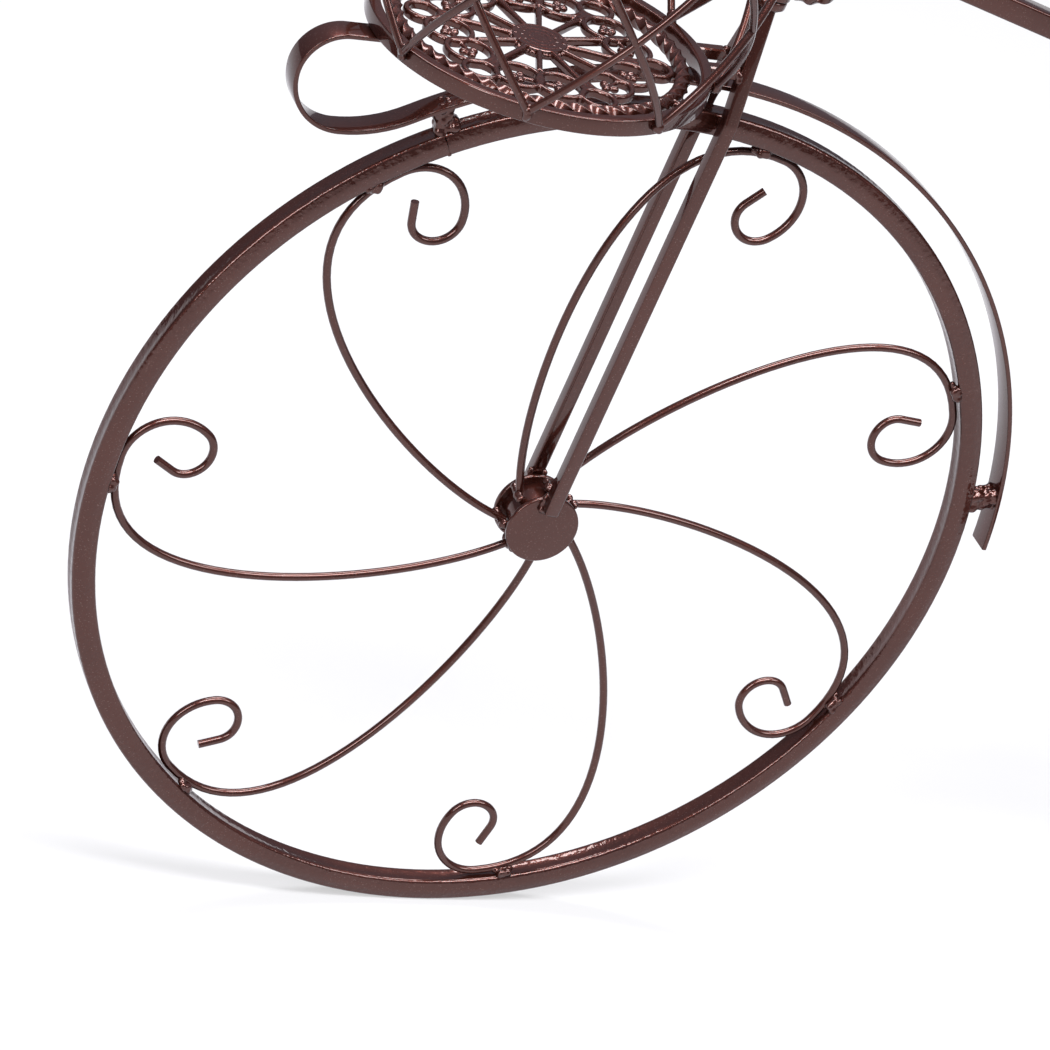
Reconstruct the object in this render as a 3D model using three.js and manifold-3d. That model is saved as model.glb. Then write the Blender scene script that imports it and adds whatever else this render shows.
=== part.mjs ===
// Bicycle planter: a welded steel bicycle with a wire basket for a flower pot over each wheel.
// Millimetres, Z up, the front wheel towards -X. The origin is on the ground, midway between the wheels.
import * as THREE from "three";
import { mergeVertices } from "three/addons/utils/BufferGeometryUtils.js";
import Module from "manifold-3d";

const wasm = await Module();
wasm.setup();

// Driving dimensions of the whole bicycle
const wheelRadius = 200; // over the rim
const middleRoom = 95; // from the vertical midline to each rim
const tubeWidth = 10; // square tube of the rims and frame
const tubeWall = 1.2;
const wireRadius = 1.6; // basket wires
const seat = 0.3; // clearance at a welded contact
const runningGap = 0.5; // clearance where one piece turns on another
const overrun = 5; // how far a cutting shape passes what it cuts
const pointTolerance = 1e-4; // corners nearer than this are one corner
const roundSegments = 18; // of tubes, discs and other round pieces
const rodSides = 8; // of the bent rods
const wheelbase = 2 * (wheelRadius + middleRoom);

// Hub: a barrel between two discs
const hubHalfWidth = 9.6; // to a disc's outer face
const hubDiscThickness = 2.5;
const hubDiscRadius = 16;
const hubBarrelRadius = 13;

// Rim
const rimInnerRadius = wheelRadius - tubeWidth;
const rimSeamWidth = 0.5;
const rimSeamAngle = 117.6; // degrees, seen from -Y, counted from +X towards +Z
const rimSegments = 48;

// Spokes: an S from the hub to the rim, then a scroll
const spokeCount = 7;
const spokeRadius = 1.75; // of the wire
const spokePhase = 20.6; // degrees, where the first spoke meets the rim
const spokeHubAngle = 63.8; // degrees, from the weld's direction to the spoke's root
const spokeHubLean = 26.2; // degrees, how far the root leans from the radius
const spokeRootPullShare = 0.274; // handles of the S, as shares of the rim's inner radius
const spokeWeldPullShare = 0.413;
const scrollRadiusShares = [0.104, 0.117, 0.059, 0.047]; // of the rim's inner radius
const scrollTurns = [89, 38, 116, 54]; // degrees of each arc of the scroll
const scrollTailShare = 0.048;
const spokeSideCount = 5;
const spokeSteps = 8;
const scrollSteps = [3, 2, 4, 2];

// Fork: two legs of square bar that lean back and bend in to a round crown, with an upright tube over it
const forkLean = 6.8; // degrees
const forkOffset = -2.3; // the fork's line from the hub's centre
const legWidth = 6.2; // square bar
const legStart = 10; // above the hub's centre
const legBendHeight = 200; // where the legs bend in towards each other
const legSlant = 13; // degrees, inwards above the bend
const crownLift = 49; // crown's underside above the rim
const crownHeight = 4;
const crownRadius = 7.5;
const uprightRadius = 8; // head tube and seat tube
const uprightBore = 6.3;
const uprightLength = 78;

// Mudguard: one flat strip, curled at the basket's end
const stripWidth = 12;
const stripThickness = 2;
const stripGap = 11; // from the rim to the strip
const stripTipAngle = 0.5; // degrees, where the strip begins
const stripLeaveAngle = 120.5; // degrees, where it leaves the rim's curve
const stripReturnRadius = 58; // bends the strip flat before the curl
const curlLowerShare = 0.56; // radius of the curl's lower bend, as a share of its height
const curlRun = 18; // straight end under the basket
const stubSize = 8;
const stubAngles = [7, 117];
const stripSteps = [20, 3, 5, 5, 1];

// Basket: base hoop, twisted ring, filigree and a cage of crossing wires
const hoopRadius = 70;
const hoopWall = 5;
const hoopHeight = 7;
const hoopLift = 17.3; // hoop's underside above the rim
const tabLength = 14; // from the hoop to the fork
const tabWidth = 5;
const ringInset = 6.5; // from the hoop's inside to the middle of the twisted bar
const ringBarWidth = 5;
const ringBumps = 52;
const ringStepsPerBump = 2;
const ringStubWidth = 4;
const ringStubCount = 4;
const cageNodes = 8;
const cageHeight = 84;
const cageFootLift = 5.5; // lower ends of the wires above the hoop's underside
// Radius gained and radians wound by the height and by its square, all taken over the rim's radius
const cageFlareShares = [0.33, -0.45];
const cageWindShares = [2.03, -0.31];
const cageWireSteps = 5;
const cageWireSides = 4;
const cageRimRadius = 2.6; // round bar of the top hoop
const hoopSegments = 40;
const cageRimSegments = 28;
const cageRimSides = 5;

// Filigree of the basket's base
const filigreeThickness = 4;
const filigreeRise = 0.6; // above the hoop's underside
const castStep = 0.15; // each kind of bar in the casting is thinner than the last by this, top and bottom
// Places and sizes in the filigree, as shares of the twisted ring's inside radius
const filigreeDiscShare = 0.208;
const pairLoopShare = 0.191; // outside radius of a loop in a pair
const pairOrbitShare = 0.692;
const outerLoopShare = 0.1456; // outside radius of the loop between two pairs
const ribWidth = 2.6;
const loopWall = 2.4;
const pairHalfAngle = 12.7; // degrees
const motifCount = 6;
const filigreePhase = 12; // degrees
const budHalfWidth = 3.2;
const budStemWidth = 2.2;
const budLength = 6; // of the bud past its neck
const loopSegments = 8;

// Frame
const mainSlope = 15.3; // degrees, down from the head tube
const mainDrop = 36.3; // main tube's middle below the top of the upright tubes, at the tubes
const gussetRadius = 16.5; // middle of the twisted arc under the main tube
const gussetSetback = 7; // from the upright tube to the arc's centre
const gussetDrop = 26.2; // of that centre below the main tube's start
const gussetStart = -145; // degrees, inside the upright tube
const gussetSweep = 170; // degrees, to the inside of the main tube
const gussetBumps = 7;
const gussetStepsPerBump = 3;
const stayEnd = 12; // from the stays' ends to the rear hub's centre
const shellRadius = 12; // bottom bracket
const shellHalfLength = 20;
const shellDrop = 10; // below the hubs

// Steering column and handlebar
const steererRadius = 5.8;
const collarHeight = 10;
const collarRadius = 9;
const stemLength = 62; // steerer above the head tube
const barRadius = 6;
const barCentreHalf = 28; // straight middle part
const barRise = 26;
const barShoulder = 64; // half width at the shoulders
const barBendHalf = 104; // half width where each grip's straight part begins
const barBendBack = 30; // that place behind the steerer
const barGripAngle = 25; // degrees outwards from straight back
const barGripRun = 80;
const barShoulderShare = 0.2; // of the bend's reach back, at the shoulder
const barSteps = [1, 4, 5, 1, 5, 4, 1];
const gripLength = 72;
const gripRadius = 9;
const gripEndWall = 3;

// Seat
const postReach = 16; // seat post above the seat tube
const postDepth = 40; // seat post inside the seat tube
const saddleLength = 126;
const saddleWidth = 92;
const saddleAdvance = 36; // saddle's middle ahead of the post
const saddleThickness = 7;
// Half of the saddle's outline from tail to nose, as shares of its length and half width:
// each row is two handles and the point that they lead to
const saddleOutlineShares = [
  [-0.5, 0.62, -0.42, 1, -0.22, 1],
  [-0.02, 1, 0.1, 0.34, 0.32, 0.3],
  [0.45, 0.28, 0.5, 0.16, 0.5, 0],
];
const saddleCurveSegments = 5;

// Crank and pedals
const crankRadius = 40;
const crankRodRadius = 4;
const crankPinRadius = 3;
const armGap = 2; // from the bottom bracket to an arm
const pedalLength = 34;
const pedalWidth = 25;
const pedalThickness = 8;
const pedalGap = 2;
const pinOverhang = 2;

// Stand
const standRadius = 4;
const standGap = 1.6; // from a stay to the stand
const standRake = 30; // feet ahead of the rear hub
const standKneeDrop = 41; // below the rear hub
const standHalfWidth = 120;
const standBendShare = 1.5; // corner cut of the U, over the bar's radius
const padRadius = 9;
const padHeight = 4;

// Finishes
const paint = { color: 0x4a3230, roughness: 0.38, metalness: 0.45 };
const castPaint = { color: 0x4d3634, roughness: 0.42, metalness: 0.45 };
const gripPaint = { color: 0x3b2826, roughness: 0.5, metalness: 0.3 };

// Sizes that follow
const rad = THREE.MathUtils.degToRad;
const leanSlope = Math.tan(rad(forkLean));
const crownBottom = wheelRadius + crownLift;
const crownTop = crownBottom + crownHeight;
const uprightTop = crownTop + runningGap + uprightLength;
const stripRadius = wheelRadius + stripGap + stripThickness / 2;
const hoopBottom = wheelRadius + hoopLift;
const legY = hubHalfWidth + legWidth / 2;
const stayY = hubHalfWidth + tubeWidth / 2;
const legFront = (forkOffset - legWidth / 2) / Math.cos(rad(forkLean));
const legFrontAtHoop = hoopBottom * leanSlope + legFront;
const basketX = legFrontAtHoop - tabLength - hoopRadius;
const ringRadius = hoopRadius - hoopWall - ringInset;
const ringInside = ringRadius - ringBarWidth / Math.SQRT2;
const pairLoopRadius = ringInside * pairLoopShare;
const pairOrbit = ringInside * pairOrbitShare;
const outerLoopRadius = ringInside * outerLoopShare;
const shellZ = wheelRadius - shellDrop;
const standInnerHalf = stayY + tubeWidth / 2 + standGap + standRadius; // above the knee
const standBore = standRadius + runningGap;

// A geometry as a solid that can be joined and cut
function solid(geometry) {
  const bare = geometry.index ? geometry.toNonIndexed() : geometry.clone();
  bare.deleteAttribute("normal");
  bare.deleteAttribute("uv");
  const merged = mergeVertices(bare, pointTolerance);
  return new wasm.Manifold(
    new wasm.Mesh({
      numProp: 3,
      vertProperties: merged.attributes.position.array,
      triVerts: new Uint32Array(merged.index.array),
    }),
  );
}

// A solid as a geometry with flat faces
function geometryOf(made) {
  const mesh = made.getMesh();
  const geometry = new THREE.BufferGeometry();
  const step = mesh.numProp;
  const corners = new Float32Array(mesh.numVert * 3);
  for (let i = 0; i < mesh.numVert; i++) {
    corners.set(mesh.vertProperties.subarray(i * step, i * step + 3), i * 3);
  }
  geometry.setAttribute("position", new THREE.BufferAttribute(corners, 3));
  geometry.setIndex(new THREE.BufferAttribute(mesh.triVerts, 1));
  const flat = geometry.toNonIndexed();
  flat.computeVertexNormals();
  return flat;
}

const join = (geometries) => geometryOf(geometries.map(solid).reduce((a, b) => a.add(b)));

function cut(body, tools) {
  return geometryOf(tools.map(solid).reduce((a, b) => a.subtract(b), solid(body)));
}

function piece(name, geometry, finish = paint) {
  const mesh = new THREE.Mesh(geometry, new THREE.MeshStandardMaterial(finish));
  mesh.name = name;
  return mesh;
}

function group(children, place = [0, 0, 0]) {
  const made = new THREE.Group();
  made.add(...children);
  made.position.set(...place);
  return made;
}

// A round bar section with flat sides
function roundSection(radius, sides) {
  const outline = new THREE.Shape();
  for (let i = 0; i < sides; i++) {
    const turn = (2 * Math.PI * i) / sides;
    const point = [radius * Math.cos(turn), radius * Math.sin(turn)];
    if (i === 0) outline.moveTo(...point);
    else outline.lineTo(...point);
  }
  return outline;
}

function rectangle(halfWidth, halfHeight) {
  return new THREE.Shape([
    new THREE.Vector2(-halfWidth, -halfHeight),
    new THREE.Vector2(halfWidth, -halfHeight),
    new THREE.Vector2(halfWidth, halfHeight),
    new THREE.Vector2(-halfWidth, halfHeight),
  ]);
}

// A block from its middle and its full sizes
function block(size, middle = [0, 0, 0]) {
  return new THREE.BoxGeometry(...size).translate(...middle);
}

// A round bar along Y, X or Z
function roundBar(radius, length, segments, axis = "y") {
  const bar = new THREE.CylinderGeometry(radius, radius, length, segments);
  if (axis === "z") bar.rotateX(Math.PI / 2);
  if (axis === "x") bar.rotateZ(Math.PI / 2);
  return bar;
}

// A tube along Z with its bore, standing on z = 0
function roundTube(radius, bore, length, segments) {
  const wall = roundBar(radius, length, segments, "z");
  const core = roundBar(bore, length + overrun, segments, "z");
  return cut(wall, [core]).translate(0, 0, length / 2);
}

// An outline drawn out along Z, standing on z = 0
const plain = (outline, depth) => new THREE.ExtrudeGeometry(outline, { depth, bevelEnabled: false });

// A square tube along Z, open at both ends, standing on z = 0
function squareTube(side, wall, length) {
  const outline = rectangle(side / 2, side / 2);
  outline.holes.push(rectangle(side / 2 - wall, side / 2 - wall));
  return plain(outline, length);
}

// A ring about Z with a rectangular section, standing on z = 0
function flatRing(outer, inner, height, segments) {
  const corners = [
    new THREE.Vector2(inner, 0),
    new THREE.Vector2(outer, 0),
    new THREE.Vector2(outer, height),
    new THREE.Vector2(inner, height),
    new THREE.Vector2(inner, 0),
  ];
  return new THREE.LatheGeometry(corners, segments).rotateX(Math.PI / 2);
}

// A path of several curves, each with its own number of equal steps
class BentPath extends THREE.Curve {
  constructor(curves, steps) {
    super();
    this.curves = curves;
    this.stepCounts = steps;
    this.steps = steps.reduce((a, b) => a + b);
  }

  getPoint(share, target = new THREE.Vector3()) {
    let place = Math.min(Math.max(share, 0), 1) * this.steps;
    let index = 0;
    while (index < this.curves.length - 1 && place > this.stepCounts[index]) {
      place -= this.stepCounts[index];
      index += 1;
    }
    const point = this.curves[index].getPoint(Math.min(place / this.stepCounts[index], 1));
    return point.isVector3 ? target.copy(point) : target.set(point.x, 0, point.y);
  }

  getPointAt(share, target) {
    return this.getPoint(share, target);
  }

  getTangentAt(share, target) {
    return this.getTangent(share, target);
  }
}

// A bar bent along a path
function bentBar(path, section) {
  return new THREE.ExtrudeGeometry(section, { steps: path.steps, extrudePath: path });
}

// The bends of a wire in one plane: each bend is a radius and a turn in degrees, left if positive.
// A bend with no turn is a straight run of the given length.
function bends(start, heading, list) {
  const made = [];
  let at = start.clone();
  let facing = rad(heading);
  for (const { radius, turn, run } of list) {
    if (run) {
      const end = new THREE.Vector2(at.x + run * Math.cos(facing), at.y + run * Math.sin(facing));
      made.push(new THREE.LineCurve(at, end));
      at = end;
      continue;
    }
    const side = Math.sign(turn);
    const from = facing - (side * Math.PI) / 2;
    const middle = new THREE.Vector2(at.x - radius * Math.cos(from), at.y - radius * Math.sin(from));
    const to = from + rad(turn);
    made.push(new THREE.EllipseCurve(middle.x, middle.y, radius, radius, from, to, turn < 0));
    at = new THREE.Vector2(middle.x + radius * Math.cos(to), middle.y + radius * Math.sin(to));
    facing += rad(turn);
  }
  return made;
}

// An arc of square bar, twisted along its length, about Z. A whole turn makes a closed ring.
function twistedArc(radius, side, bumps, stepsPerBump, start = 0, sweep = 360) {
  const steps = bumps * stepsPerBump;
  const closed = sweep === 360;
  const sections = closed ? steps : steps + 1;
  const reach = side / Math.SQRT2;
  const corners = [];
  const faces = closed ? [] : [0, 1, 2, 0, 2, 3, ...[0, 2, 1, 0, 3, 2].map((corner) => 4 * steps + corner)];
  for (let i = 0; i < sections; i++) {
    const turn = rad(start + (sweep * i) / steps);
    const twist = (Math.PI / 2) * (i / stepsPerBump);
    for (let k = 0; k < 4; k++) {
      const around = twist + (Math.PI / 2) * k;
      const out = radius + reach * Math.cos(around);
      corners.push(out * Math.cos(turn), out * Math.sin(turn), reach * Math.sin(around));
      if (i === steps) continue;
      const next = (i + 1) % sections;
      const a = 4 * i + k;
      const b = 4 * i + ((k + 1) % 4);
      const c = 4 * next + k;
      const d = 4 * next + ((k + 1) % 4);
      faces.push(a, c, b, b, c, d);
    }
  }
  const geometry = new THREE.BufferGeometry();
  geometry.setAttribute("position", new THREE.Float32BufferAttribute(corners, 3));
  geometry.setIndex(faces);
  return geometry;
}

// Wheel

// The rim: a square tube rolled into a circle, its two ends met at a seam
function rim() {
  const outer = flatRing(wheelRadius, rimInnerRadius, tubeWidth, rimSegments);
  const inside = tubeWidth - 2 * tubeWall;
  const hollow = flatRing(wheelRadius - tubeWall, rimInnerRadius + tubeWall, inside, rimSegments);
  const seam = block([tubeWidth + overrun, rimSeamWidth, tubeWidth + overrun]);
  seam.translate((wheelRadius + rimInnerRadius) / 2, 0, tubeWidth / 2).rotateZ(rad(rimSeamAngle));
  const made = cut(outer, [hollow.translate(0, 0, tubeWall), seam]);
  return made.translate(0, 0, -tubeWidth / 2).rotateX(Math.PI / 2);
}

// Left and right are the rider's: the end that is turned round has its left on its own +Y
const sideName = (side, leftSide) => (side === leftSide ? "left" : "right");

// A round part of the hub, along Y, bored through where something turns in it
function hubPart(radius, length, bore) {
  const part = roundBar(radius, length, roundSegments);
  return bore > 0 ? cut(part, [roundBar(bore, length + overrun, rodSides)]) : part;
}

function hubDisc(side, bore) {
  const disc = hubPart(hubDiscRadius, hubDiscThickness, bore);
  return disc.translate(0, side * (hubHalfWidth - hubDiscThickness / 2), 0);
}

// One spoke, its weld on the rim lying on +X
function spoke() {
  const facetShare = Math.cos(Math.PI / rimSegments);
  const weldRadius = rimInnerRadius * facetShare - seat - spokeRadius;
  const rootRadius = hubBarrelRadius + seat + spokeRadius * Math.sin(rad(spokeHubLean));
  const rootAngle = rad(spokeHubAngle);
  const root = new THREE.Vector2(rootRadius * Math.cos(rootAngle), rootRadius * Math.sin(rootAngle));
  const heading = rad(spokeHubAngle - spokeHubLean);
  const pull = rimInnerRadius * spokeRootPullShare;
  const rootHandle = new THREE.Vector2(
    root.x + pull * Math.cos(heading),
    root.y + pull * Math.sin(heading),
  );
  const weld = new THREE.Vector2(weldRadius, 0);
  const weldHandle = new THREE.Vector2(weldRadius, rimInnerRadius * spokeWeldPullShare);
  const arm = new THREE.CubicBezierCurve(root, rootHandle, weldHandle, weld);
  const scroll = scrollRadiusShares.map((share, i) => ({
    radius: share * rimInnerRadius,
    turn: -scrollTurns[i],
  }));
  scroll.push({ run: scrollTailShare * rimInnerRadius });
  const curves = [arm, ...bends(weld, -90, scroll)];
  const path = new BentPath(curves, [spokeSteps, ...scrollSteps, 1]);
  return bentBar(path, roundSection(spokeRadius, spokeSideCount));
}

function wheel(name, leftSide, bore) {
  const barrelLength = 2 * (hubHalfWidth - hubDiscThickness);
  const pieces = [
    piece(name + "_rim", rim()),
    piece(name + "_hub_barrel", hubPart(hubBarrelRadius, barrelLength, bore)),
    ...[-1, 1].map((side) => piece(name + "_hub_disc_" + sideName(side, leftSide), hubDisc(side, bore))),
  ];
  for (let i = 0; i < spokeCount; i++) {
    const made = piece(name + "_spoke_" + (i + 1), spoke());
    made.rotation.y = -rad(spokePhase + (360 * i) / spokeCount);
    pieces.push(made);
  }
  return pieces;
}

// Mudguard

// The strip follows the rim, bends flat and curls up under the basket's hoop
function mudguardCurves() {
  const tip = rad(stripTipAngle);
  const leave = rad(stripLeaveAngle);
  const around = new THREE.EllipseCurve(0, 0, stripRadius, stripRadius, tip, leave, false);
  const turn = stripLeaveAngle - 90;
  const leaveAt = new THREE.Vector2(stripRadius * Math.cos(leave), stripRadius * Math.sin(leave));
  const lowest = leaveAt.y - stripReturnRadius * (1 - Math.cos(rad(turn)));
  const highest = hoopBottom - seat - stripThickness / 2;
  const curlHeight = highest - lowest;
  const rest = bends(leaveAt, stripLeaveAngle + 90, [
    { radius: stripReturnRadius, turn: -turn },
    { radius: curlHeight * curlLowerShare, turn: -90 },
    { radius: curlHeight * (1 - curlLowerShare), turn: -90 },
    { run: curlRun },
  ]);
  return [around, ...rest];
}

// A weld stub between the rim and the strip
function stub(angle) {
  const from = wheelRadius + seat;
  const to = stripRadius;
  const lump = block([to - from, stubSize, stubSize], [(from + to) / 2, 0, 0]);
  return lump.rotateY(-rad(angle));
}

function mudguard(name) {
  const path = new BentPath(mudguardCurves(), stripSteps);
  const strip = bentBar(path, rectangle(stripWidth / 2, stripThickness / 2));
  return piece(name + "_mudguard", join([strip, ...stubAngles.map(stub)]));
}

// Basket

// The base hoop with two tabs that reach back to the fork's legs
function basketHoop() {
  const ring = flatRing(hoopRadius, hoopRadius - hoopWall, hoopHeight, hoopSegments);
  const across = legAcross(hoopBottom + tabWidth / 2);
  const from = Math.sqrt(hoopRadius ** 2 - across ** 2) - hoopWall / 2;
  const to = hoopRadius + tabLength - seat;
  const tabs = [-across, across].map((y) =>
    block([to - from, tabWidth, tabWidth], [(from + to) / 2, y, tabWidth / 2]),
  );
  return join([ring, ...tabs]);
}

function twistedBasketRing() {
  const ring = twistedArc(ringRadius, ringBarWidth, ringBumps, ringStepsPerBump);
  const hoopInside = (hoopRadius - hoopWall) * Math.cos(Math.PI / hoopSegments);
  const stubs = [];
  for (let i = 0; i < ringStubCount; i++) {
    const length = hoopInside - seat - ringRadius;
    const lump = block([length, ringStubWidth, ringStubWidth], [ringRadius + length / 2, 0, 0]);
    stubs.push(lump.rotateZ((2 * Math.PI * (i + 1 / 2)) / ringStubCount));
  }
  return join([ring, ...stubs]);
}

// The bars of the casting, thickest first
const castOrder = ["disc", "leftLoop", "rightLoop", "outerLoop", "rib", "bud"];

function castBar(kind, make) {
  const inset = castStep * castOrder.indexOf(kind);
  const thickness = filigreeThickness - 2 * inset;
  return make(thickness).translate(0, 0, inset);
}

function loop(kind, radius, orbit, angle) {
  const ring = castBar(kind, (thick) => flatRing(radius, radius - loopWall, thick, loopSegments));
  return ring.translate(orbit, 0, 0).rotateZ(rad(angle));
}

// A bud on its stem inside one loop of a pair, growing from the wall that the pair shares
function bud(unitAngle, side) {
  const away = rad(side * pairHalfAngle);
  const x = pairOrbit * Math.cos(away);
  const reach = Math.abs(pairOrbit * Math.sin(away)) + budLength / 2;
  const neck = reach - budLength;
  const half = budStemWidth / 2;
  const corners = [
    [-half, 0],
    [half, 0],
    [half, neck],
    [budHalfWidth, neck + budLength / 2],
    [0, reach],
    [-budHalfWidth, neck + budLength / 2],
    [-half, neck],
  ];
  const outline = new THREE.Shape(corners.map(([u, v]) => new THREE.Vector2(x + u, side * v)));
  return castBar("bud", (thick) => plain(outline, thick)).rotateZ(rad(unitAngle));
}

function rib(angle, reach) {
  const bar = castBar("rib", (thick) => block([reach, ribWidth, thick], [reach / 2, 0, thick / 2]));
  return bar.rotateZ(rad(angle));
}

function filigree() {
  const disc = castBar("disc", (thick) =>
    roundBar(ringInside * filigreeDiscShare, thick, roundSegments, "z").translate(0, 0, thick / 2),
  );
  const shapes = [disc];
  const outerOrbit = ringInside - seat - outerLoopRadius;
  for (let i = 0; i < motifCount; i++) {
    const angle = filigreePhase + (360 * i) / motifCount;
    const between = angle + 180 / motifCount;
    shapes.push(loop("leftLoop", pairLoopRadius, pairOrbit, angle - pairHalfAngle));
    shapes.push(loop("rightLoop", pairLoopRadius, pairOrbit, angle + pairHalfAngle));
    shapes.push(loop("outerLoop", outerLoopRadius, outerOrbit, between));
    shapes.push(bud(angle, -1), bud(angle, 1));
    shapes.push(rib(angle, pairOrbit * Math.cos(rad(pairHalfAngle)) - pairLoopRadius + loopWall));
    shapes.push(rib(between, outerOrbit - outerLoopRadius + loopWall / 2));
  }
  return join(shapes);
}

// One wire of the cage: it flares and winds round as it climbs
class CageWire extends THREE.Curve {
  constructor(startAngle, hand, top) {
    super();
    this.startAngle = startAngle;
    this.hand = hand;
    this.top = top;
  }

  getPoint(share, target = new THREE.Vector3()) {
    const climb = (share * this.top) / wheelRadius;
    const flare = cageFlareShares[0] * climb + cageFlareShares[1] * climb ** 2;
    const wind = cageWindShares[0] * climb + cageWindShares[1] * climb ** 2;
    const out = hoopRadius + seat + wireRadius + flare * wheelRadius;
    const turn = this.startAngle + this.hand * wind;
    return target.set(out * Math.cos(turn), out * Math.sin(turn), share * this.top);
  }
}

function cage() {
  const base = cageFootLift;
  const section = roundSection(wireRadius, cageWireSides);
  const wires = [];
  for (let i = 0; i < cageNodes; i++) {
    for (const hand of [-1, 1]) {
      const start = (2 * Math.PI * (i + 1 / 2)) / cageNodes;
      const path = new CageWire(start, hand, cageHeight - base);
      const wire = new THREE.ExtrudeGeometry(section, { steps: cageWireSteps, extrudePath: path });
      wires.push(wire.translate(0, 0, base));
    }
  }
  const end = new CageWire(0, 1, cageHeight - base).getPoint(1);
  const topRadius = Math.hypot(end.x, end.y);
  const top = new THREE.TorusGeometry(topRadius, cageRimRadius, cageRimSides, cageRimSegments);
  return join([top.translate(0, 0, cageHeight), ...wires]);
}

function basket(name) {
  const floor = hoopBottom + filigreeRise;
  const ring = piece(name + "_basket_ring", twistedBasketRing());
  ring.position.z = hoopBottom + ringBarWidth / Math.SQRT2;
  const hoop = piece(name + "_basket_hoop", basketHoop());
  hoop.position.z = hoopBottom;
  const base = piece(name + "_basket_filigree", filigree(), castPaint);
  base.position.z = floor;
  const wires = piece(name + "_basket_cage", cage());
  wires.position.z = hoopBottom;
  return group([hoop, ring, base, wires], [basketX, 0, 0]);
}

// Fork: in a frame that leans with it, its origin at the hub

// From the middle plane to a leg's middle, at a height along the fork
function legAcross(height) {
  return legY - Math.max(0, height - legBendHeight) * Math.tan(rad(legSlant));
}

// Both legs bend in above the rim and meet, each cut off at the middle plane and under the crown
function forkLegs(name, leftSide) {
  const top = crownBottom - seat;
  const reach = legY + legWidth;
  const above = block([reach, 2 * reach, reach], [forkOffset, 0, top + reach / 2]);
  return [-1, 1].map((side) => {
    const at = (height) => new THREE.Vector3(forkOffset, side * legAcross(height), height);
    const lines = [
      new THREE.LineCurve3(at(legStart), at(legBendHeight)),
      new THREE.LineCurve3(at(legBendHeight), at(top + overrun)),
    ];
    const bar = bentBar(new BentPath(lines, [1, 1]), rectangle(legWidth / 2, legWidth / 2));
    const beyond = block([reach, reach, crownBottom], [forkOffset, (side * (seat - reach)) / 2, crownBottom]);
    return piece(name + "_fork_leg_" + sideName(side, leftSide), cut(bar, [above, beyond]));
  });
}

function crown(name) {
  const disc = roundBar(crownRadius, crownHeight, roundSegments, "z");
  return piece(name + "_fork_crown", disc.translate(forkOffset, 0, crownBottom + crownHeight / 2));
}

// The fixed tube that stands over each fork
function upright(name) {
  const tube = roundTube(uprightRadius, uprightBore, uprightLength, roundSegments);
  return piece(name, tube.translate(forkOffset, 0, crownTop + runningGap));
}

function leaning(children) {
  const made = group(children);
  made.rotation.y = rad(forkLean);
  return made;
}

// Steering column and handlebar, in the leaning frame

const steererTop = uprightTop + stemLength;

function steerer() {
  const length = steererTop - crownTop - seat;
  const bar = roundTube(steererRadius, steererRadius - tubeWall, length, roundSegments);
  return piece("steerer", bar.translate(forkOffset, 0, crownTop + seat));
}

function collar() {
  const ring = roundTube(collarRadius, steererRadius + seat, collarHeight, roundSegments);
  return piece("headset_collar", ring.translate(forkOffset, 0, uprightTop + runningGap));
}

// Half of the bar's middle line: a rise, a sweep back and a straight run for the grip
function barCurves(side) {
  const at = (x, y, z) => new THREE.Vector3(forkOffset + x, side * y, steererTop + seat + barRadius + z);
  const away = rad(barGripAngle);
  const foot = at(0, barCentreHalf, 0);
  const shoulder = at(barBendBack * barShoulderShare, barShoulder, barRise);
  const bend = at(barBendBack, barBendHalf, barRise);
  const end = at(
    barBendBack + barGripRun * Math.cos(away),
    barBendHalf + barGripRun * Math.sin(away),
    barRise,
  );
  const middle = (barCentreHalf + barShoulder) / 2;
  const rise = new THREE.CubicBezierCurve3(foot, at(0, middle, 0), at(0, middle, barRise), shoulder);
  const corner = at(0, barBendHalf - barBendBack * Math.tan(away), barRise);
  return { foot, bend, end, rise, sweep: new THREE.QuadraticBezierCurve3(shoulder, corner, bend) };
}

const reversed = (curve, points) => new curve(...points.slice().reverse());

function gripAxis(side) {
  const { bend, end } = barCurves(side);
  return { end, direction: end.clone().sub(bend).normalize() };
}

function handlebar() {
  const left = barCurves(-1);
  const right = barCurves(1);
  const points = (bezier) => [bezier.v0, bezier.v1, bezier.v2, bezier.v3].filter(Boolean);
  const curves = [
    new THREE.LineCurve3(left.end, left.bend),
    reversed(THREE.QuadraticBezierCurve3, points(left.sweep)),
    reversed(THREE.CubicBezierCurve3, points(left.rise)),
    new THREE.LineCurve3(left.foot, right.foot),
    right.rise,
    right.sweep,
    new THREE.LineCurve3(right.bend, right.end),
  ];
  const path = new BentPath(curves, barSteps);
  return piece("handlebar", bentBar(path, roundSection(barRadius, rodSides)));
}

// A closed sleeve over the bar's end
function grip(side) {
  const sleeve = roundBar(gripRadius, gripLength, roundSegments, "z");
  const bore = roundBar(barRadius + seat, gripLength, roundSegments, "z");
  const made = cut(sleeve, [bore.translate(0, 0, -gripEndWall)]);
  const { end, direction } = gripAxis(side);
  const mesh = piece("grip_" + (side < 0 ? "left" : "right"), made, gripPaint);
  mesh.quaternion.setFromUnitVectors(new THREE.Vector3(0, 0, 1), direction);
  const middle = gripEndWall + seat - gripLength / 2;
  mesh.position.copy(end).addScaledVector(direction, middle);
  return mesh;
}

// Seat, in the leaning frame

function seatPost() {
  const length = postDepth + postReach;
  const bar = roundTube(steererRadius, steererRadius - tubeWall, length, roundSegments);
  return piece("seat_post", bar.translate(forkOffset, 0, uprightTop - postDepth));
}

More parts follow.
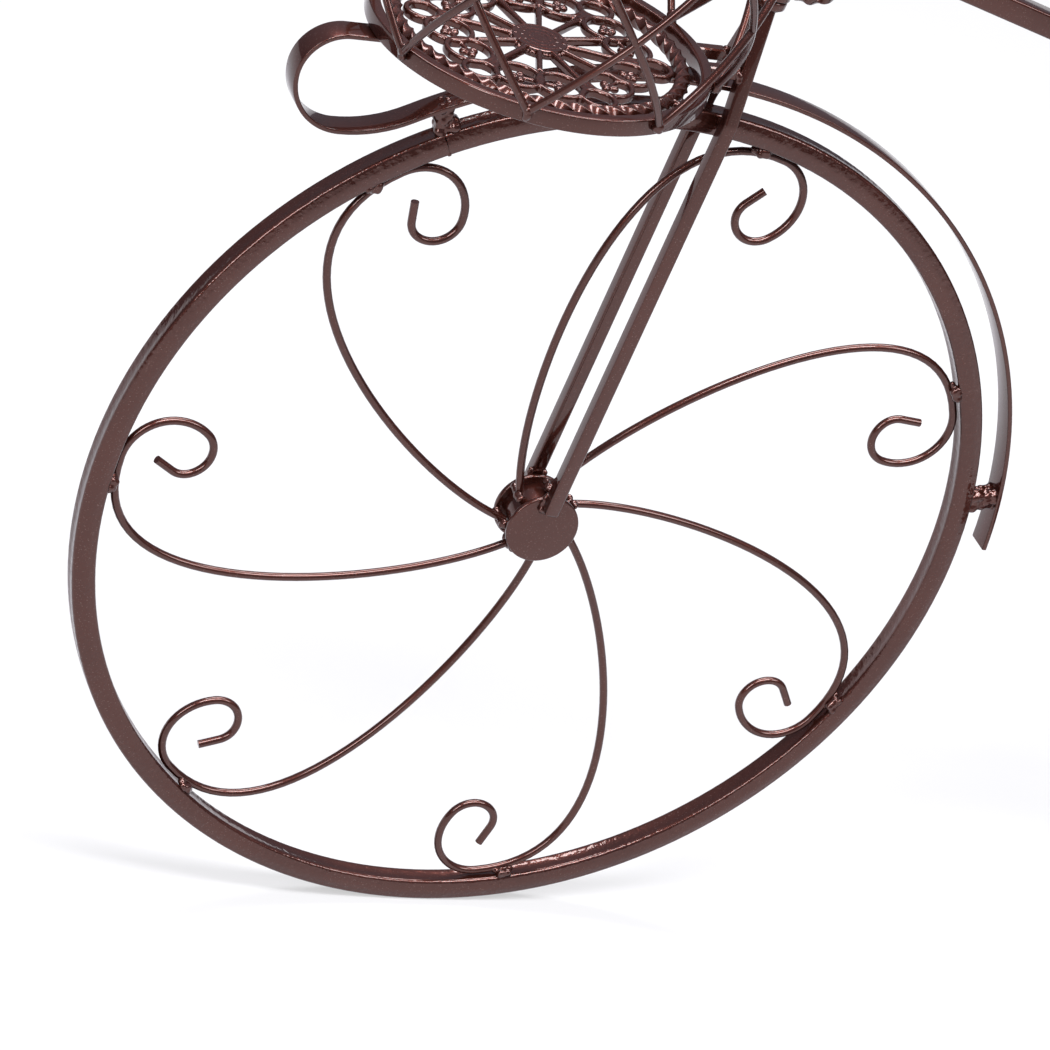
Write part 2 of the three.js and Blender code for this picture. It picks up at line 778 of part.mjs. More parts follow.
// A pear-shaped plate, its nose towards the handlebar, level on the leaning post
function saddle() {
  const at = (x, y) => [x * saddleLength, (y * saddleWidth) / 2];
  const outline = new THREE.Shape();
  outline.moveTo(...at(-1 / 2, 0));
  for (const [ax, ay, bx, by, x, y] of saddleOutlineShares) {
    outline.bezierCurveTo(...at(ax, ay), ...at(bx, by), ...at(x, y));
  }
  const starts = [[-1 / 2, 0], ...saddleOutlineShares.map((row) => row.slice(4))];
  for (let i = saddleOutlineShares.length - 1; i >= 0; i--) {
    const [ax, ay, bx, by] = saddleOutlineShares[i];
    const [x, y] = starts[i];
    outline.bezierCurveTo(...at(bx, -by), ...at(ax, -ay), ...at(x, -y));
  }
  const plate = new THREE.ExtrudeGeometry(outline, {
    depth: saddleThickness,
    bevelEnabled: false,
    curveSegments: saddleCurveSegments,
  });
  const mesh = piece("saddle", plate.translate(saddleAdvance, 0, 0));
  mesh.rotation.y = -rad(forkLean);
  mesh.position.set(forkOffset, 0, uprightTop + postReach + steererRadius * leanSlope + seat);
  return mesh;
}

// One end of the bicycle, its origin at the hub and its basket towards -X
function bicycleEnd(name, leftSide, hubBore, extras) {
  const fork = leaning([...forkLegs(name, leftSide), crown(name), ...extras]);
  const round = wheel(name, leftSide, hubBore);
  return group([...round, mudguard(name), basket(name), fork], [0, 0, wheelRadius]);
}

// Frame, in the bicycle's own frame

// Where a line through a point with a slope meets the back of the front upright tube
function meetUpright(height, slope) {
  const offset = (forkOffset + uprightRadius + seat) / Math.cos(rad(forkLean));
  return (offset + leanSlope * height) / (1 - leanSlope * slope);
}

// Side outline of the sloping tube: from the upright to the centre post
function mainTubeOutline(halfDepth, extra) {
  const slope = -Math.tan(rad(mainSlope));
  const reach = halfDepth / Math.cos(rad(mainSlope));
  const startHeight = uprightTop - mainDrop;
  const endX = wheelbase / 2 - tubeWidth / 2 - seat + extra;
  const corners = [reach, -reach].flatMap((offset) => {
    const startX = meetUpright(startHeight + offset, slope) - extra;
    const from = new THREE.Vector2(startX, startHeight + offset + slope * startX);
    const to = new THREE.Vector2(endX, startHeight + offset + slope * endX);
    return offset > 0 ? [from, to] : [to, from];
  });
  return new THREE.Shape(corners);
}

function mainTube(name) {
  const half = tubeWidth / 2;
  const outer = plain(mainTubeOutline(half, 0), tubeWidth);
  const inside = tubeWidth - 2 * tubeWall;
  const core = plain(mainTubeOutline(half - tubeWall, overrun), inside);
  const made = cut(outer.translate(0, 0, -half), [core.translate(0, 0, -inside / 2)]);
  return piece(name, made.rotateX(Math.PI / 2));
}

// An arc of twisted bar that fills the corner under the main tube, cut to both tubes
function gusset(name) {
  const half = tubeWidth / 2 + seat;
  const z = uprightTop - mainDrop - gussetDrop;
  const x = meetUpright(z, 0) + gussetSetback;
  const arc = twistedArc(
    gussetRadius,
    ringBarWidth,
    gussetBumps,
    gussetStepsPerBump,
    gussetStart,
    gussetSweep,
  );
  const tube = plain(mainTubeOutline(half, 0), 2 * half).translate(0, 0, -half).rotateX(Math.PI / 2);
  const post = roundBar(uprightRadius + seat, uprightTop, roundSegments, "z");
  const upright = post.translate(forkOffset, 0, z).rotateY(rad(forkLean));
  return piece(name, cut(arc.rotateX(Math.PI / 2).translate(x, 0, z), [tube, upright]));
}

// The frame's front half in hub coordinates; the rear half is the same, turned round
function frameHalf(tubeName, gussetName) {
  return group([mainTube(tubeName), gusset(gussetName)], [0, 0, wheelRadius]);
}

function centrePost() {
  const slope = Math.tan(rad(mainSlope));
  const top = wheelRadius + uprightTop - mainDrop - (slope * wheelbase) / 2 + tubeWidth;
  const bottom = shellZ + shellRadius + seat;
  const tube = squareTube(tubeWidth, tubeWall, top - bottom);
  return piece("centre_post", tube.translate(0, 0, bottom));
}

// The bottom bracket: a short round shell that the crank turns in
function bottomBracket() {
  const shell = roundBar(shellRadius, 2 * shellHalfLength, roundSegments);
  const bore = roundBar(crankRodRadius + runningGap, 2 * shellHalfLength + overrun, rodSides);
  return piece("bottom_bracket", cut(shell, [bore]).translate(0, 0, shellZ));
}

function chainStay(side) {
  const from = new THREE.Vector3(shellRadius + seat, 0, shellZ);
  const to = new THREE.Vector3(wheelbase / 2 - stayEnd, 0, wheelRadius);
  const along = to.clone().sub(from);
  const tube = squareTube(tubeWidth, tubeWall, along.length());
  const mesh = piece("chain_stay_" + (side < 0 ? "left" : "right"), tube);
  mesh.quaternion.setFromUnitVectors(new THREE.Vector3(0, 0, 1), along.normalize());
  mesh.position.set(from.x, side * stayY, from.z);
  return mesh;
}

// Crank, pedals and stand

const armY = shellHalfLength + armGap + crankRodRadius;
const pedalInner = armY + crankRodRadius + pedalGap;
const pinEnd = pedalInner + pedalLength + pinOverhang;

// A rod bent twice, its left arm forward and its right arm back, with a pin at each end
function crank() {
  const rod = roundBar(crankRodRadius, 2 * armY, rodSides);
  const shapes = [rod];
  for (const side of [-1, 1]) {
    const tip = side * crankRadius;
    const arm = roundBar(crankRodRadius, crankRadius + 2 * crankRodRadius, rodSides, "x");
    shapes.push(arm.translate(tip / 2, side * armY, 0));
    const pin = roundBar(crankPinRadius, pinEnd - armY, rodSides);
    shapes.push(pin.translate(tip, (side * (armY + pinEnd)) / 2, 0));
  }
  return piece("crank", join(shapes).translate(0, 0, shellZ));
}

function pedal(side) {
  const body = block([pedalWidth, pedalLength, pedalThickness]);
  const bore = roundBar(crankPinRadius + runningGap, pedalLength + overrun, rodSides);
  const made = cut(body, [bore]);
  const mesh = piece("pedal_" + (side < 0 ? "left" : "right"), made);
  mesh.position.set(side * crankRadius, side * (pedalInner + pedalLength / 2), shellZ);
  return mesh;
}

// A bar bent to a wide U upside down, which turns in the rear hub, with a round pad under each foot.
// Its feet rest ahead of the hub, so that the planter's weight keeps it open.
function stand() {
  const kneeZ = wheelRadius - standKneeDrop;
  const corner = standRadius * standBendShare;
  const at = (y, z) => {
    const x = (-standRake * (wheelRadius - z)) / (wheelRadius - padHeight);
    return new THREE.Vector3(x, y, z);
  };
  const half = (side) => {
    const shoulder = at(side * (standInnerHalf - corner), wheelRadius);
    const shank = at(side * standInnerHalf, wheelRadius - corner);
    const knee = at(side * standInnerHalf, kneeZ);
    const foot = at(side * standHalfWidth, padHeight);
    return [
      new THREE.LineCurve3(shoulder, shank),
      new THREE.LineCurve3(shank, knee),
      new THREE.LineCurve3(knee, foot),
    ];
  };
  const back = (line) => new THREE.LineCurve3(line.v2, line.v1);
  const across = new THREE.LineCurve3(
    at(corner - standInnerHalf, wheelRadius),
    at(standInnerHalf - corner, wheelRadius),
  );
  const curves = [...half(-1).reverse().map(back), across, ...half(1)];
  const rod = bentBar(new BentPath(curves, curves.map(() => 1)), roundSection(standRadius, rodSides));
  const pads = [-1, 1].map((side) => {
    const pad = roundBar(padRadius, padHeight, roundSegments, "z");
    return pad.translate(-standRake, side * standHalfWidth, padHeight / 2);
  });
  return piece("stand", join([rod, ...pads]).translate(wheelbase / 2, 0, 0));
}

// The whole bicycle
const steering = [steerer(), collar(), handlebar(), grip(-1), grip(1)];
const front = bicycleEnd("front", -1, 0, [upright("head_tube"), ...steering]);
const rear = bicycleEnd("rear", 1, standBore, [upright("seat_tube"), seatPost(), saddle()]);
const frontFrame = frameHalf("main_tube_front", "gusset_arc_front");
const rearFrame = frameHalf("main_tube_rear", "gusset_arc_rear");
front.position.x = -wheelbase / 2;
frontFrame.position.x = -wheelbase / 2;
rear.position.x = wheelbase / 2;
rearFrame.position.x = wheelbase / 2;
rear.rotation.z = Math.PI;
rearFrame.rotation.z = Math.PI;

const planter = group([
  front,
  rear,
  frontFrame,
  rearFrame,
  centrePost(),
  bottomBracket(),
  chainStay(-1),
  chainStay(1),
  crank(),
  pedal(-1),
  pedal(1),
  stand(),
]);
planter.name = "bicycle_planter";

export default planter;
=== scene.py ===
"""Bicycle planter: the finished look of a welded steel bicycle that carries a flower basket over each wheel.

All sizes are in metres, in the row frame: Z up, the front wheel towards -X, the ground at zero.
"""

from __future__ import annotations

import logging
import sys
from dataclasses import dataclass, field
from enum import Enum
from math import ceil, copysign, cos, hypot, pi, radians, sin, sqrt, tan
from typing import Sequence

import bmesh
import bpy
from mathutils import Matrix, Vector

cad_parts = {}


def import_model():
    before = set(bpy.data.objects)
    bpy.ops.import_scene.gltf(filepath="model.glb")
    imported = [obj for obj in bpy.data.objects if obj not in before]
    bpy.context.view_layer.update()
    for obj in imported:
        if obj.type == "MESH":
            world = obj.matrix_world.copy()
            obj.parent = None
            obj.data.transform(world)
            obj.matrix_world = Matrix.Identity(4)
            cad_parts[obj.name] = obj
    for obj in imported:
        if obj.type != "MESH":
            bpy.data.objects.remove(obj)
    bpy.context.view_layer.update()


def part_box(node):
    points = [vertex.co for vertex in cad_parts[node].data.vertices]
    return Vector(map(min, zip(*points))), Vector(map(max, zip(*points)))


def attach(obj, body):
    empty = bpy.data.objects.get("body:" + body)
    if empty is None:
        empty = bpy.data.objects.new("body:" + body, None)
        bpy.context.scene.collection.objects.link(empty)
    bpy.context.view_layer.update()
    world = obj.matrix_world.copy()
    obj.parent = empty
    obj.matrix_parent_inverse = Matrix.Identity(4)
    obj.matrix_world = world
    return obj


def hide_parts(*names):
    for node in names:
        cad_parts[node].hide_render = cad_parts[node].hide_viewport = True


log = logging.getLogger("bicycle_planter")

FULL_TURN = 2 * pi
MERGE = 1e-7  # corners of a mesh nearer than this are one corner

X_AXIS = Vector((1, 0, 0))
Y_AXIS = Vector((0, 1, 0))
Z_AXIS = Vector((0, 0, 1))

Points = Sequence[Vector]
Outline = list[tuple[float, float]]
Pairs = tuple[tuple[float, float], ...]
Tree = bpy.types.NodeTree
Socket = bpy.types.NodeSocket
Piece = bpy.types.Object


class End(Enum):
    """The two ends of the bicycle, which are alike and face away from each other."""

    FRONT = "front"
    REAR = "rear"


class Body(Enum):
    """The rigid bodies that the pieces ride on."""

    FRAME = "frame"
    FRONT_END = "front_end"
    CRANK = "crank"
    PEDAL_LEFT = "pedal_left"
    PEDAL_RIGHT = "pedal_right"
    STAND = "stand"


def middle_of(node: str) -> Vector:
    """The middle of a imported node's box."""
    low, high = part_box(node)
    return (low + high) / 2


def span_of(node: str) -> Vector:
    """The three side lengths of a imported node's box."""
    low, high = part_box(node)
    return high - low


# Colours and nodes


def linear(hex_colour: str) -> tuple[float, float, float, float]:
    """Turns an sRGB colour into the linear one that the shaders take.

    Args:
        hex_colour: the colour as "#rrggbb".

    Returns:
        Red, green, blue and alpha, linear.
    """
    knee = 0.04045
    channels = [int(hex_colour[i : i + 2], 16) / 255 for i in (1, 3, 5)]
    curve = [c / 12.92 if c <= knee else ((c + 0.055) / 1.055) ** 2.4 for c in channels]
    return (curve[0], curve[1], curve[2], 1.0)


def add_node(tree: Tree, kind: str, feeds: dict | None = None, **settings) -> bpy.types.Node:
    """Adds one node to a tree.

    Args:
        tree: the shader or geometry tree.
        kind: the node's type name.
        feeds: for each input, by name or number, a socket to link or a value to set.
        settings: the node's own properties.

    Returns:
        The new node.
    """
    node = tree.nodes.new(kind)
    for name, value in settings.items():
        setattr(node, name, value)
    for name, value in (feeds or {}).items():
        socket = node.inputs[name]
        if isinstance(value, Socket):
            tree.links.new(value, socket)
        else:
            socket.default_value = value
    return node


def mixed(tree: Tree, share: Socket, first: object, second: object) -> Socket:
    """Mixes two colours by a share.

    Args:
        tree: the shader tree.
        share: how much of the second colour there is.
        first: a colour, as a socket or a linear value.
        second: the other colour.

    Returns:
        The mixed colour's socket.
    """
    # The node's inputs 6 and 7 and its output 2 are the colours
    feeds = {0: share, 6: first, 7: second}
    return add_node(tree, "ShaderNodeMix", feeds, data_type="RGBA").outputs[2]


def noise(tree: Tree, place: Socket, size: float, detail: float) -> Socket:
    """A noise whose lumps have a real size, in metres, as a value."""
    feeds = {"Vector": place, "Scale": 1 / size, "Detail": detail}
    return add_node(tree, "ShaderNodeTexNoise", feeds).outputs["Fac"]


def bumped(tree: Tree, height: Socket, depth: float, before: Socket | None = None) -> Socket:
    """Lays a relief on a surface.

    Args:
        tree: the shader tree.
        height: the relief's height, 0 to 1.
        depth: its real depth.
        before: the normal of the relief below it.

    Returns:
        The normal's socket.
    """
    feeds = {"Height": height, "Distance": depth, "Strength": 1.0}
    if before is not None:
        feeds["Normal"] = before
    return add_node(tree, "ShaderNodeBump", feeds).outputs["Normal"]


def blank_material(label: str) -> bpy.types.Material:
    """Makes a material with an empty node tree.

    Args:
        label: the material's name.

    Returns:
        The new material.
    """
    material = bpy.data.materials.new(label)
    material.use_nodes = True
    material.node_tree.nodes.clear()
    return material


# Finishes


@dataclass(frozen=True)
class Finish:
    """What a piece is painted or made of: its material's name and the name of a slot."""

    label: str
    slot: str

    def material(self) -> bpy.types.Material:
        """Builds the finish's material, or gives the one already built.

        Returns:
            The material.
        """
        known = bpy.data.materials.get(self.label)
        if known:
            return known
        material = blank_material(self.label)
        tree = material.node_tree
        place = add_node(tree, "ShaderNodeTexCoord").outputs["Object"]
        shader = add_node(tree, "ShaderNodeBsdfPrincipled", self.look(tree, place))
        add_node(tree, "ShaderNodeOutputMaterial", {"Surface": shader.outputs["BSDF"]})
        return material

    def look(self, tree: Tree, place: Socket) -> dict:
        """The shader's inputs, on object coordinates."""
        raise NotImplementedError


@dataclass(frozen=True)
class Paint(Finish):
    """Dark red-brown metallic enamel, sprayed over welded steel and baked.

    The clear resin gives sharp highlights and a reflection that grows towards grazing angles, so that
    upward faces turn grey-mauve. The flake below it reflects broadly in red-brown, with a few bright
    specks, and the sprayed film has a slight orange peel.
    """

    label: str = "baked brown metallic enamel"
    slot: str = "painted_steel"
    base: str = "#552c23"
    shade: str = "#3e1d16"
    flake: str = "#6a4e48"
    # Real flakes are a tenth of this, too fine to show, so they are drawn coarser
    flake_size: float = 0.00035
    flake_share: float = 0.05
    peel_size: float = 0.0016  # one dimple of the orange peel
    peel_depth: float = 0.000008
    patch_size: float = 0.045  # slow change of the film's thickness
    pit_size: float = 0.0030  # spatter and dust caught under the film
    pit_depth: float = 0.0
    rough_fall: float = 0.04  # how much smoother a thick film is
    rough_rise: float = 0.05  # how much rougher a thin one is
    metallic: float = 0.75
    roughness: float = 0.28
    specular: float = 0.35
    edge_tint: str = "#a294a8"  # the flake's own reflection at grazing angles
    coat: float = 0.85
    coat_roughness: float = 0.035

    def look(self, tree: Tree, place: Socket) -> dict:
        """The enamel's film and flake.

        Args:
            tree: the shader tree.
            place: the coordinates.

        Returns:
            The shader's inputs.
        """
        cells = {"Vector": place, "Scale": 1 / self.flake_size, "Randomness": 1.0}
        speck = add_node(tree, "ShaderNodeTexVoronoi", cells)
        speck_tone = add_node(tree, "ShaderNodeSeparateColor", {"Color": speck.outputs["Color"]})
        brightest = {"Value": speck_tone.outputs["Red"], "From Min": 1 - self.flake_share, "From Max": 1.0}
        shine = add_node(tree, "ShaderNodeMapRange", brightest).outputs["Result"]
        patch = noise(tree, place, self.patch_size, 4.0)
        tone = mixed(tree, patch, linear(self.shade), linear(self.base))
        relief = self.relief(tree, place)
        film = {
            "Value": patch,
            "From Min": 0.3,
            "From Max": 0.7,
            "To Min": self.roughness - self.rough_fall,
            "To Max": self.roughness + self.rough_rise,
        }
        return {
            "Base Color": mixed(tree, shine, tone, linear(self.flake)),
            "Metallic": self.metallic,
            "Roughness": add_node(tree, "ShaderNodeMapRange", film).outputs["Result"],
            "Specular IOR Level": self.specular,
            "Specular Tint": linear(self.edge_tint),
            "Coat Weight": self.coat,
            "Coat Roughness": self.coat_roughness,
            "Normal": relief,
            "Coat Normal": relief,
        }

    def relief(self, tree: Tree, place: Socket) -> Socket:
        """The film's orange peel, and on a pitted finish the grit below it.

        Args:
            tree: the shader tree.
            place: the coordinates.

        Returns:
            The normal's socket.
        """
        bump = bumped(tree, noise(tree, place, self.peel_size, 1.0), self.peel_depth)
        if not self.pit_depth:
            return bump
        return bumped(tree, noise(tree, place, self.pit_size, 2.0), self.pit_depth, bump)


@dataclass(frozen=True)
class GripRubber(Finish):
    """Moulded rubber, dark brown and satin, with the fine grain that the mould leaves."""

    label: str = "moulded brown rubber"
    slot: str = "grip_rubber"
    base: str = "#2b1c19"
    worn: str = "#3d2b27"
    grain_size: float = 0.0011
    grain_depth: float = 0.00004
    wear_size: float = 0.012
    roughness: float = 0.58

    def look(self, tree: Tree, place: Socket) -> dict:
        """The rubber's grain, paler where hands wear it.

        Args:
            tree: the shader tree.
            place: the coordinates.

        Returns:
            The shader's inputs.
        """
        wear = noise(tree, place, self.wear_size, 2.0)
        grain = noise(tree, place, self.grain_size, 2.0)
        return {
            "Base Color": mixed(tree, wear, linear(self.base), linear(self.worn)),
            "Roughness": self.roughness,
            "Normal": bumped(tree, grain, self.grain_depth),
        }


ENAMEL = Paint()
PITTED_ENAMEL = Paint(label="baked brown metallic enamel over pitted tube", pit_depth=0.00028)
CAST_ENAMEL = Paint(
    label="brown metallic enamel over a sand casting",
    slot="painted_casting",
    pit_size=0.0016,
    pit_depth=0.00005,
)
WELD_ENAMEL = Paint(label="brown metallic enamel over weld metal", pit_size=0.0012, pit_depth=0.00006)
RUBBER = GripRubber()


# Meshes


def round_z(radius: float, turn: float, height: float = 0.0) -> Vector:
    """The point at a radius and a height, turned round Z by radians from +X."""
    return Vector((radius * cos(turn), radius * sin(turn), height))


def in_plane(turn: float) -> Vector:
    """The direction in the bicycle's plane, turned by radians from +X towards +Z."""
    return Vector((cos(turn), 0, sin(turn)))


def circle(radius: float, height: float, steps: int) -> list[Vector]:
    """Points round Z at a height, the first one given again at the end."""
    return [round_z(radius, FULL_TURN * step / steps, height) for step in range(steps + 1)]


@dataclass
class Form:
    """A mesh under construction: its corners and its faces."""

    corners: list[Vector] = field(default_factory=list)
    faces: list[tuple[int, ...]] = field(default_factory=list)

    def add(self, other: "Form") -> "Form":
        """Takes in another form.

        Args:
            other: the form whose corners and faces are added.

        Returns:
            This form.
        """
        start = len(self.corners)
        self.corners.extend(other.corners)
        self.faces.extend(tuple(i + start for i in face) for face in other.faces)
        return self

    def moved(self, matrix: Matrix) -> "Form":
        """A copy of this form, moved by a matrix."""
        return Form([matrix @ corner for corner in self.corners], list(self.faces))

    def to_object(self, name: str, sharp_angle: float = 40.0) -> Piece:
        """Makes the form an object at the origin, with merged corners and faces that point outwards.

        Args:
            name: the object's name.
            sharp_angle: degrees; edges that bend more than this stay sharp.

        Returns:
            The new object, linked to the scene.
        """
        mesh = bpy.data.meshes.new(name)
        mesh.from_pydata([tuple(c) for c in self.corners], [], self.faces)
        work = bmesh.new()
        work.from_mesh(mesh)
        bmesh.ops.remove_doubles(work, verts=work.verts, dist=MERGE)
        bmesh.ops.recalc_face_normals(work, faces=work.faces)
        work.to_mesh(mesh)
        work.free()
        shade(mesh, sharp_angle)
        return link_new(name, mesh)


def shade(mesh: bpy.types.Mesh, sharp_angle: float) -> None:
    """Shades a mesh smooth, except across edges that bend more than the given degrees."""
    mesh.shade_smooth()
    mesh.set_sharp_from_angle(angle=radians(sharp_angle))


def link_new(name: str, data: bpy.types.ID) -> Piece:
    """Makes an object and links it to the scene.

    Args:
        name: the object's name.
        data: its mesh, lamp or camera.

    Returns:
        The new object.
    """
    made = bpy.data.objects.new(name, data)
    bpy.context.scene.collection.objects.link(made)
    return made


def freeze(piece: Piece) -> Piece:
    """Turns an object and its modifiers into a plain mesh.

    Args:
        piece: the object.

    Returns:
        The same object, without modifiers.
    """
    depsgraph = bpy.context.evaluated_depsgraph_get()
    mesh = bpy.data.meshes.new_from_object(piece.evaluated_get(depsgraph), depsgraph=depsgraph)
    before = piece.data
    piece.modifiers.clear()
    piece.data = mesh
    bpy.data.meshes.remove(before)
    return piece


def skin(loops: Sequence[Points], closed: bool = False, caps: bool = True) -> Form:
    """Covers a row of loops, each with as many corners as the next.

    Args:
        loops: the loops, in order.
        closed: whether the last loop joins the first.
        caps: whether the first and the last loop are filled, where the row isn't closed.

    Returns:
        The covered form.
    """
    count = len(loops[0])
    form = Form([corner for loop in loops for corner in loop])
    rows = len(loops) if closed else len(loops) - 1
    for row in range(rows):
        below, above = row * count, ((row + 1) % len(loops)) * count
        for i in range(count):
            j = (i + 1) % count
            form.faces.append((below + i, below + j, above + j, above + i))
    if caps and not closed:
        form.faces.append(tuple(range(count)))
        last = (len(loops) - 1) * count
        form.faces.append(tuple(last + i for i in range(count)))
    return form


def rounded_box(
    width: float, height: float, corner: float, steps: int = 4, dip: float = 0.0, crown: float = 0.0
) -> Outline:
    """Outline of a bar with round corners.

    Args:
        width: along the first direction.
        height: along the second direction.
        corner: radius of the corners.
        steps: points in each corner's arc, and on each side where it isn't straight.
        dip: how far the two faces across the first direction sink in their middle.
        crown: how far the two faces across the second direction rise in their middle.

    Returns:
        The outline's points, all the way round.
    """
    half_w, half_h = width / 2 - corner, height / 2 - corner
    centres = [(half_w, half_h), (-half_w, half_h), (-half_w, -half_h), (half_w, -half_h)]
    outline: Outline = []
    straight = not (dip or crown)
    for quarter, (cx, cy) in enumerate(centres):
        for step in range(steps + 1):
            turn = pi / 2 * (quarter + step / steps)
            outline.append((cx + corner * cos(turn), cy + corner * sin(turn)))
        if straight:
            continue
        x, y = outline[-1]
        nx, ny = centres[(quarter + 1) % len(centres)]
        for step in range(1, steps):
            share = step / steps
            sink = 4 * share * (1 - share)
            if quarter % 2:
                shift = -dip * sink * (1 if x > 0 else -1)
                outline.append((x + shift, y + (ny - cy) * share))
            else:
                shift = crown * sink * (1 if y > 0 else -1)
                outline.append((x + (nx - cx) * share, y + shift))
    return outline


def revolve(profile: Outline, segments: int, ring: bool = False) -> Form:
    """Turns a profile of radius and height round Z.

    Args:
        profile: the points, from axis to axis, or all the way round for a ring.
        segments: how many steps the turn has.
        ring: whether the profile closes on itself.

    Returns:
        The turned form.
    """
    loops = []
    for step in range(segments):
        turn = FULL_TURN * step / segments
        loops.append([round_z(r, turn, h) for r, h in profile])
    form = skin(loops, closed=True)
    if ring:
        return form
    count = len(profile)
    form.faces = [face for face in form.faces if not {face[0] % count, face[1] % count} == {0, count - 1}]
    return form


def turned(
    radius: float, low: float, high: float, edge: float, bore: float = 0.0, segments: int = 48
) -> Form:
    """A round bar, disc or open tube along Z.

    Args:
        radius: of its outside.
        low: height of its lower end.
        high: height of its upper end.
        edge: radius of its softened edges.
        bore: radius of its inside, none for a solid one.
        segments: how many steps its turn has.

    Returns:
        The turned form.
    """
    if bore:
        wall, middle = (radius + bore) / 2, (low + high) / 2
        outline = rounded_box(radius - bore, high - low, edge)
        return revolve([(wall + u, middle + v) for u, v in outline], segments, ring=True)
    arc = [pi / 2 * i / 3 for i in range(4)]
    bottom = [(radius - edge + edge * sin(a), low + edge - edge * cos(a)) for a in arc]
    top = [(radius - edge + edge * cos(a), high - edge + edge * sin(a)) for a in arc]
    return revolve([(0, low), *bottom, *top, (0, high)], segments)


def ball(radius: float, segments: int) -> Form:
    """A ball round the origin, with very small flats at its poles."""
    return turned(radius, -radius, radius, radius * 0.98, segments=segments)


def carved(piece: Piece, tool: Form) -> Piece:
    """Cuts a form out of an object.

    Args:
        piece: the object.
        tool: the form that is cut out.

    Returns:
        The same object, as a plain mesh.
    """
    cutter = tool.to_object("cutter")
    cut = piece.modifiers.new("cut", "BOOLEAN")
    cut.operation = "DIFFERENCE"
    cut.solver = "EXACT"
    cut.object = cutter
    freeze(piece)
    bpy.data.objects.remove(cutter)
    return piece


def melted(piece: Piece, voxel: float, smoothing: int) -> Piece:
    """Melts everything on an object into one skin.

    Args:
        piece: the object, with or without modifiers.
        voxel: grain of the new mesh.
        smoothing: passes that take the grain's steps away.

    Returns:
        The same object, as a plain mesh.
    """
    melt = piece.modifiers.new("melt", "REMESH")
    melt.mode = "VOXEL"
    melt.voxel_size = voxel
    melt.use_smooth_shade = True
    ease = piece.modifiers.new("ease", "SMOOTH")
    ease.factor = 0.5
    ease.iterations = smoothing
    return freeze(piece)


def along(direction: Vector, at: Vector) -> Matrix:
    """The matrix that stands Z along a direction at a place."""
    return Matrix.Translation(at) @ direction.to_track_quat("Z", "Y").to_matrix().to_4x4()


@dataclass(frozen=True)
class SquareTube:
    """Square steel tube with round corners, open at its ends."""

    width: float = 0.010
    corner: float = 0.0014
    wall: float = 0.0012
    lip: float = 0.0003
    bore_depth: float = 0.020

    @property
    def seam(self) -> Outline:
        """The corners of the tube's section, the first one given again at the end."""
        half = self.width / 2
        return [(half, half), (-half, half), (-half, -half), (half, -half), (half, half)]

    def between(
        self,
        start: Vector,
        end: Vector,
        across: Vector,
        start_face: Vector | None = None,
        end_face: Vector | None = None,
    ) -> Form:
        """A length of the tube.

        Args:
            start: middle of one end.
            end: middle of the other end.
            across: a direction square to one side of the tube.
            start_face: normal of the cut at the start, square if it isn't given.
            end_face: normal of the cut at the end, square if it isn't given.

        Returns:
            The tube, its bores closed out of sight.
        """
        run = (end - start).normalized()
        side = (across - run * across.dot(run)).normalized()
        axes = (run, side, run.cross(side))
        rows = [(self.wall, self.bore_depth), (self.wall, 0.0), (self.lip, 0.0), (0.0, self.lip)]
        loops = [self.loop(start, axes, start_face or run, inset, shift) for inset, shift in rows]
        loops += [self.loop(end, axes, end_face or run, inset, -shift) for inset, shift in reversed(rows)]
        return skin(loops)

    def loop(
        self, at: Vector, axes: tuple[Vector, Vector, Vector], cut: Vector, inset: float, shift: float
    ) -> list[Vector]:
        """One loop of the tube's skin.

        Args:
            at: middle of the tube's end.
            axes: along the tube, and square to its two sides.
            cut: normal of the cut at that end.
            inset: how far the loop is within the tube's outside.
            shift: how far it is from the end, along the tube.

        Returns:
            The loop's points.
        """
        run, side, rise = axes
        width = self.width - 2 * inset
        found = []
        for u, v in rounded_box(width, width, max(self.corner - inset, self.lip)):
            offset = side * u + rise * v
            slide = -offset.dot(cut) / run.dot(cut)
            found.append(at + offset + run * (slide + shift))
        return found


def block(size: Vector, middle: Vector, edge: float) -> Form:
    """A solid block with softened edges.

    Args:
        size: its three sides.
        middle: where its middle is.
        edge: radius of its edges.

    Returns:
        The block.
    """
    outline = rounded_box(size.x, size.y, edge)
    inner = rounded_box(size.x - 2 * edge, size.y - 2 * edge, edge / 2)
    low, high = -size.z / 2, size.z / 2
    levels = [(inner, low), (outline, low + edge), (outline, high - edge), (inner, high)]
    loops = [[middle + Vector((u, v, level)) for u, v in loop] for loop, level in levels]
    return skin(loops)


# Paths


def bezier(points: Points, steps: int) -> list[Vector]:
    """Points along a Bezier curve of any degree.

    Args:
        points: the ends and the handles between them.
        steps: how many runs the curve is split into.

    Returns:
        The points, both ends included.
    """
    found = []
    for step in range(steps + 1):
        share = step / steps
        row = list(points)
        while len(row) > 1:
            row = [a.lerp(b, share) for a, b in zip(row, row[1:])]
        found.append(row[0])
    return found


@dataclass(frozen=True)
class Bend:
    """An arc of a bent bar, turning left where the turn is positive, or a straight run."""

    radius: float = 0.0
    turn: float = 0.0  # degrees
    run: float = 0.0


